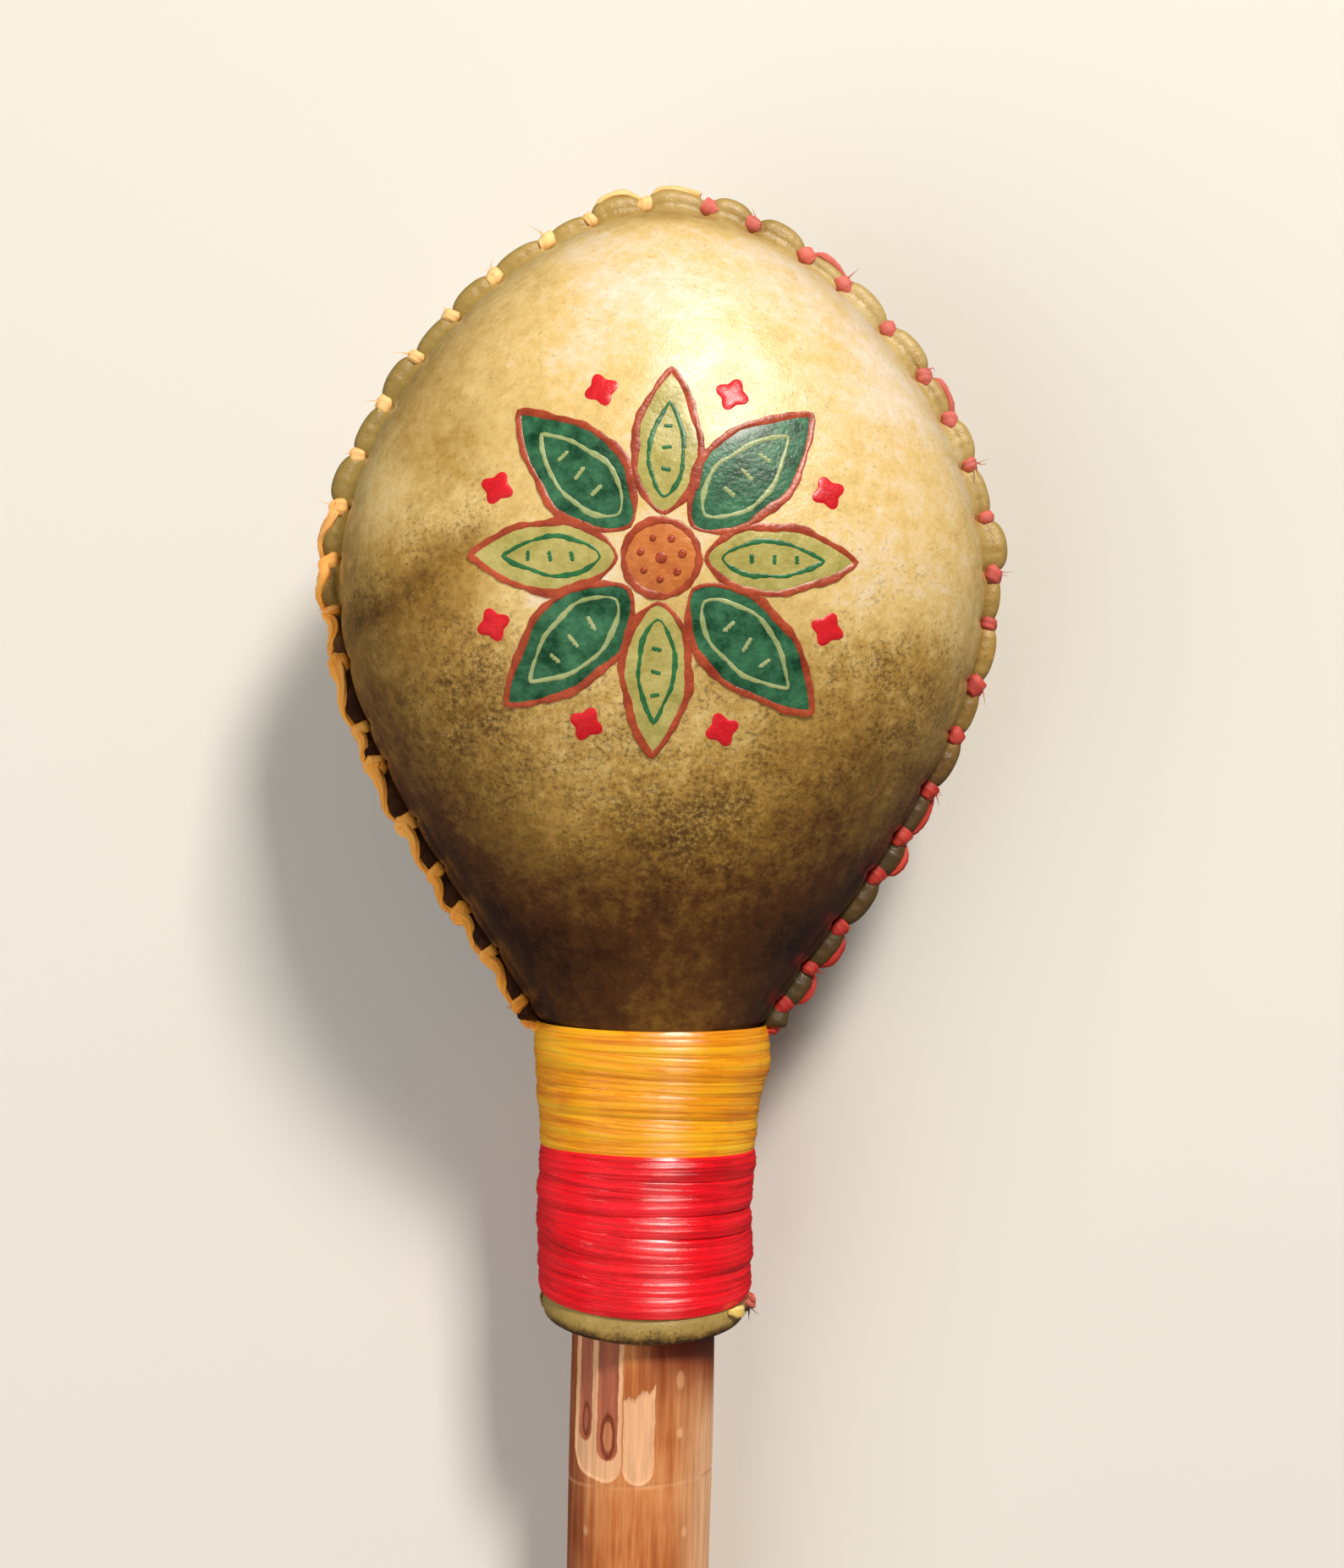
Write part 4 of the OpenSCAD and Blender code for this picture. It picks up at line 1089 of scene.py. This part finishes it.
# Paler towards the crown, partly wear and partly painted light from above
piece("red_thread", [red_line] + stitch_frays(True, range(1, STITCHES, 2)), red_thread,
      "red_thread", nodes=("red_stitching",), worn=lambda x, y, z: 0.33 * smoothstep(195, 262, y))
piece("yellow_strip", [wound_strip(YELLOW_Y - 0.6, NECK_Y + 0.3, turns=6, width=5.0)], yellow_fibre,
      "yellow_thread", nodes=("yellow_binding",))
piece("red_strip", [wound_strip(RED_Y + 0.1, YELLOW_Y + 0.5, turns=8, width=4.3)], red_fibre,
      "red_thread", nodes=("red_binding",))
piece("yellow_tab", [thread_tab()], cut_fibre, "yellow_thread", nodes=("yellow_thread_tail",))
piece("red_knot", [thread_knot()], red_thread, "red_thread", nodes=("red_thread_knot",),
      worn=lambda x, y, z: 0.3 + 0 * x)
piece("knot_ends", knot_frays(), singed, "red_thread")
# The stick, with its cut layers, painted shade and shadow, and sawn ends
piece("bark_stick", [stick()], bark, "stick_wood", nodes=("handle",), sharp=40,
      layer=stick_layer, stain=stick_stain, end=stick_end)

for colour_name, painted in rosette().items():
    paint = paint_material(colour_name + "_acrylic", *PAINTS[colour_name])
    piece("painted_" + colour_name, painted, paint, "rawhide")

for node_name in sorted(name for name in frame["nodes"] if name.startswith("pebble_")):
    piece(node_name.replace("pebble", "stone"), [pebble(node_name)], stone, "pebble", body=node_name,
          nodes=(node_name,))


# Stage

PHOTO_H = 1853
MM_PER_PIXEL = 0.135
CAMERA_DISTANCE = 450.0
CAMERA_AIM = (2.4, 200.6, 0.0)      # the photograph's middle on the seam's plane
CAMERA_ROLL = np.radians(1.43)      # the head leans to the right
FLOOR_HALF = 3.0                    # metres

corners = [(x * FLOOR_HALF, y * FLOOR_HALF, 0) for x, y in ((-1, -1), (1, -1), (1, 1), (-1, 1))]
floor_mesh = bpy.data.meshes.new("floor")
floor_mesh.from_pydata(corners, [], [(0, 1, 2, 3)])
paper, _, paper_surface = start_material("pale_paper")
paper_surface({"Base Color": linear("#dcd9d2"), "Roughness": 0.9, "Specular IOR Level": 0.1})
floor_mesh.materials.append(paper)
floor = put("floor", floor_mesh)
floor.visible_glossy = False    # keeps pale reflections off the rattle's sides


def aim(thing, at, towards, up):
    """Turns a camera or lamp at a place so that it looks towards a point with the given up direction."""
    back = unit(at - towards)
    right = unit(np.cross(up, back))
    matrix = Matrix(join(right, np.cross(back, right), back).tolist()).to_4x4()
    matrix.translation = at
    thing.matrix_world = matrix


def lamp(name, offset, size, power, colour):
    """A square soft lamp at an own-frame offset in metres from the camera's target, facing it."""
    data = bpy.data.lights.new(name, "AREA")
    data.size, data.energy = size, power
    data.color = linear(colour)[:3]
    made = put(name, data)
    aim(made, target + np.asarray(offset) @ AXES, target, ALONG)
    return made


camera_data = bpy.data.cameras.new("camera")
camera_data.sensor_fit = "VERTICAL"
camera_data.sensor_height = 24.0
camera_data.lens = camera_data.sensor_height * CAMERA_DISTANCE / (PHOTO_H * MM_PER_PIXEL)
camera = put("camera", camera_data)
camera_up = np.cos(CAMERA_ROLL) * ALONG - np.sin(CAMERA_ROLL) * ACROSS
target = place(CAMERA_AIM)
aim(camera, target + CAMERA_DISTANCE * MM * OUT, target, camera_up)
bpy.context.scene.camera = camera

lamp("key", (0.42, 1.02, 0.95), 0.3, 22.5, "#fff7ee")
fill = lamp("fill", (-0.8, -0.3, 1.1), 1.2, 10.0, "#fbf8f4")
fill.visible_glossy = False     # it lifts the shaded side and leaves no second highlight

# Soft light from all round, dimmer in reflections
world = bpy.data.worlds.new("studio")
world.use_nodes = True
room = world.node_tree
glossy = add(room, "LightPath", out="Is Glossy Ray")
ambient = add(room, "Math", (glossy, -0.3, 0.36), operation="MULTIPLY_ADD")
feed(room, room.nodes["Background"], {"Color": linear("#c9c9c9"), "Strength": ambient})
bpy.context.scene.world = world
bpy.context.scene.view_settings.view_transform = "Standard"
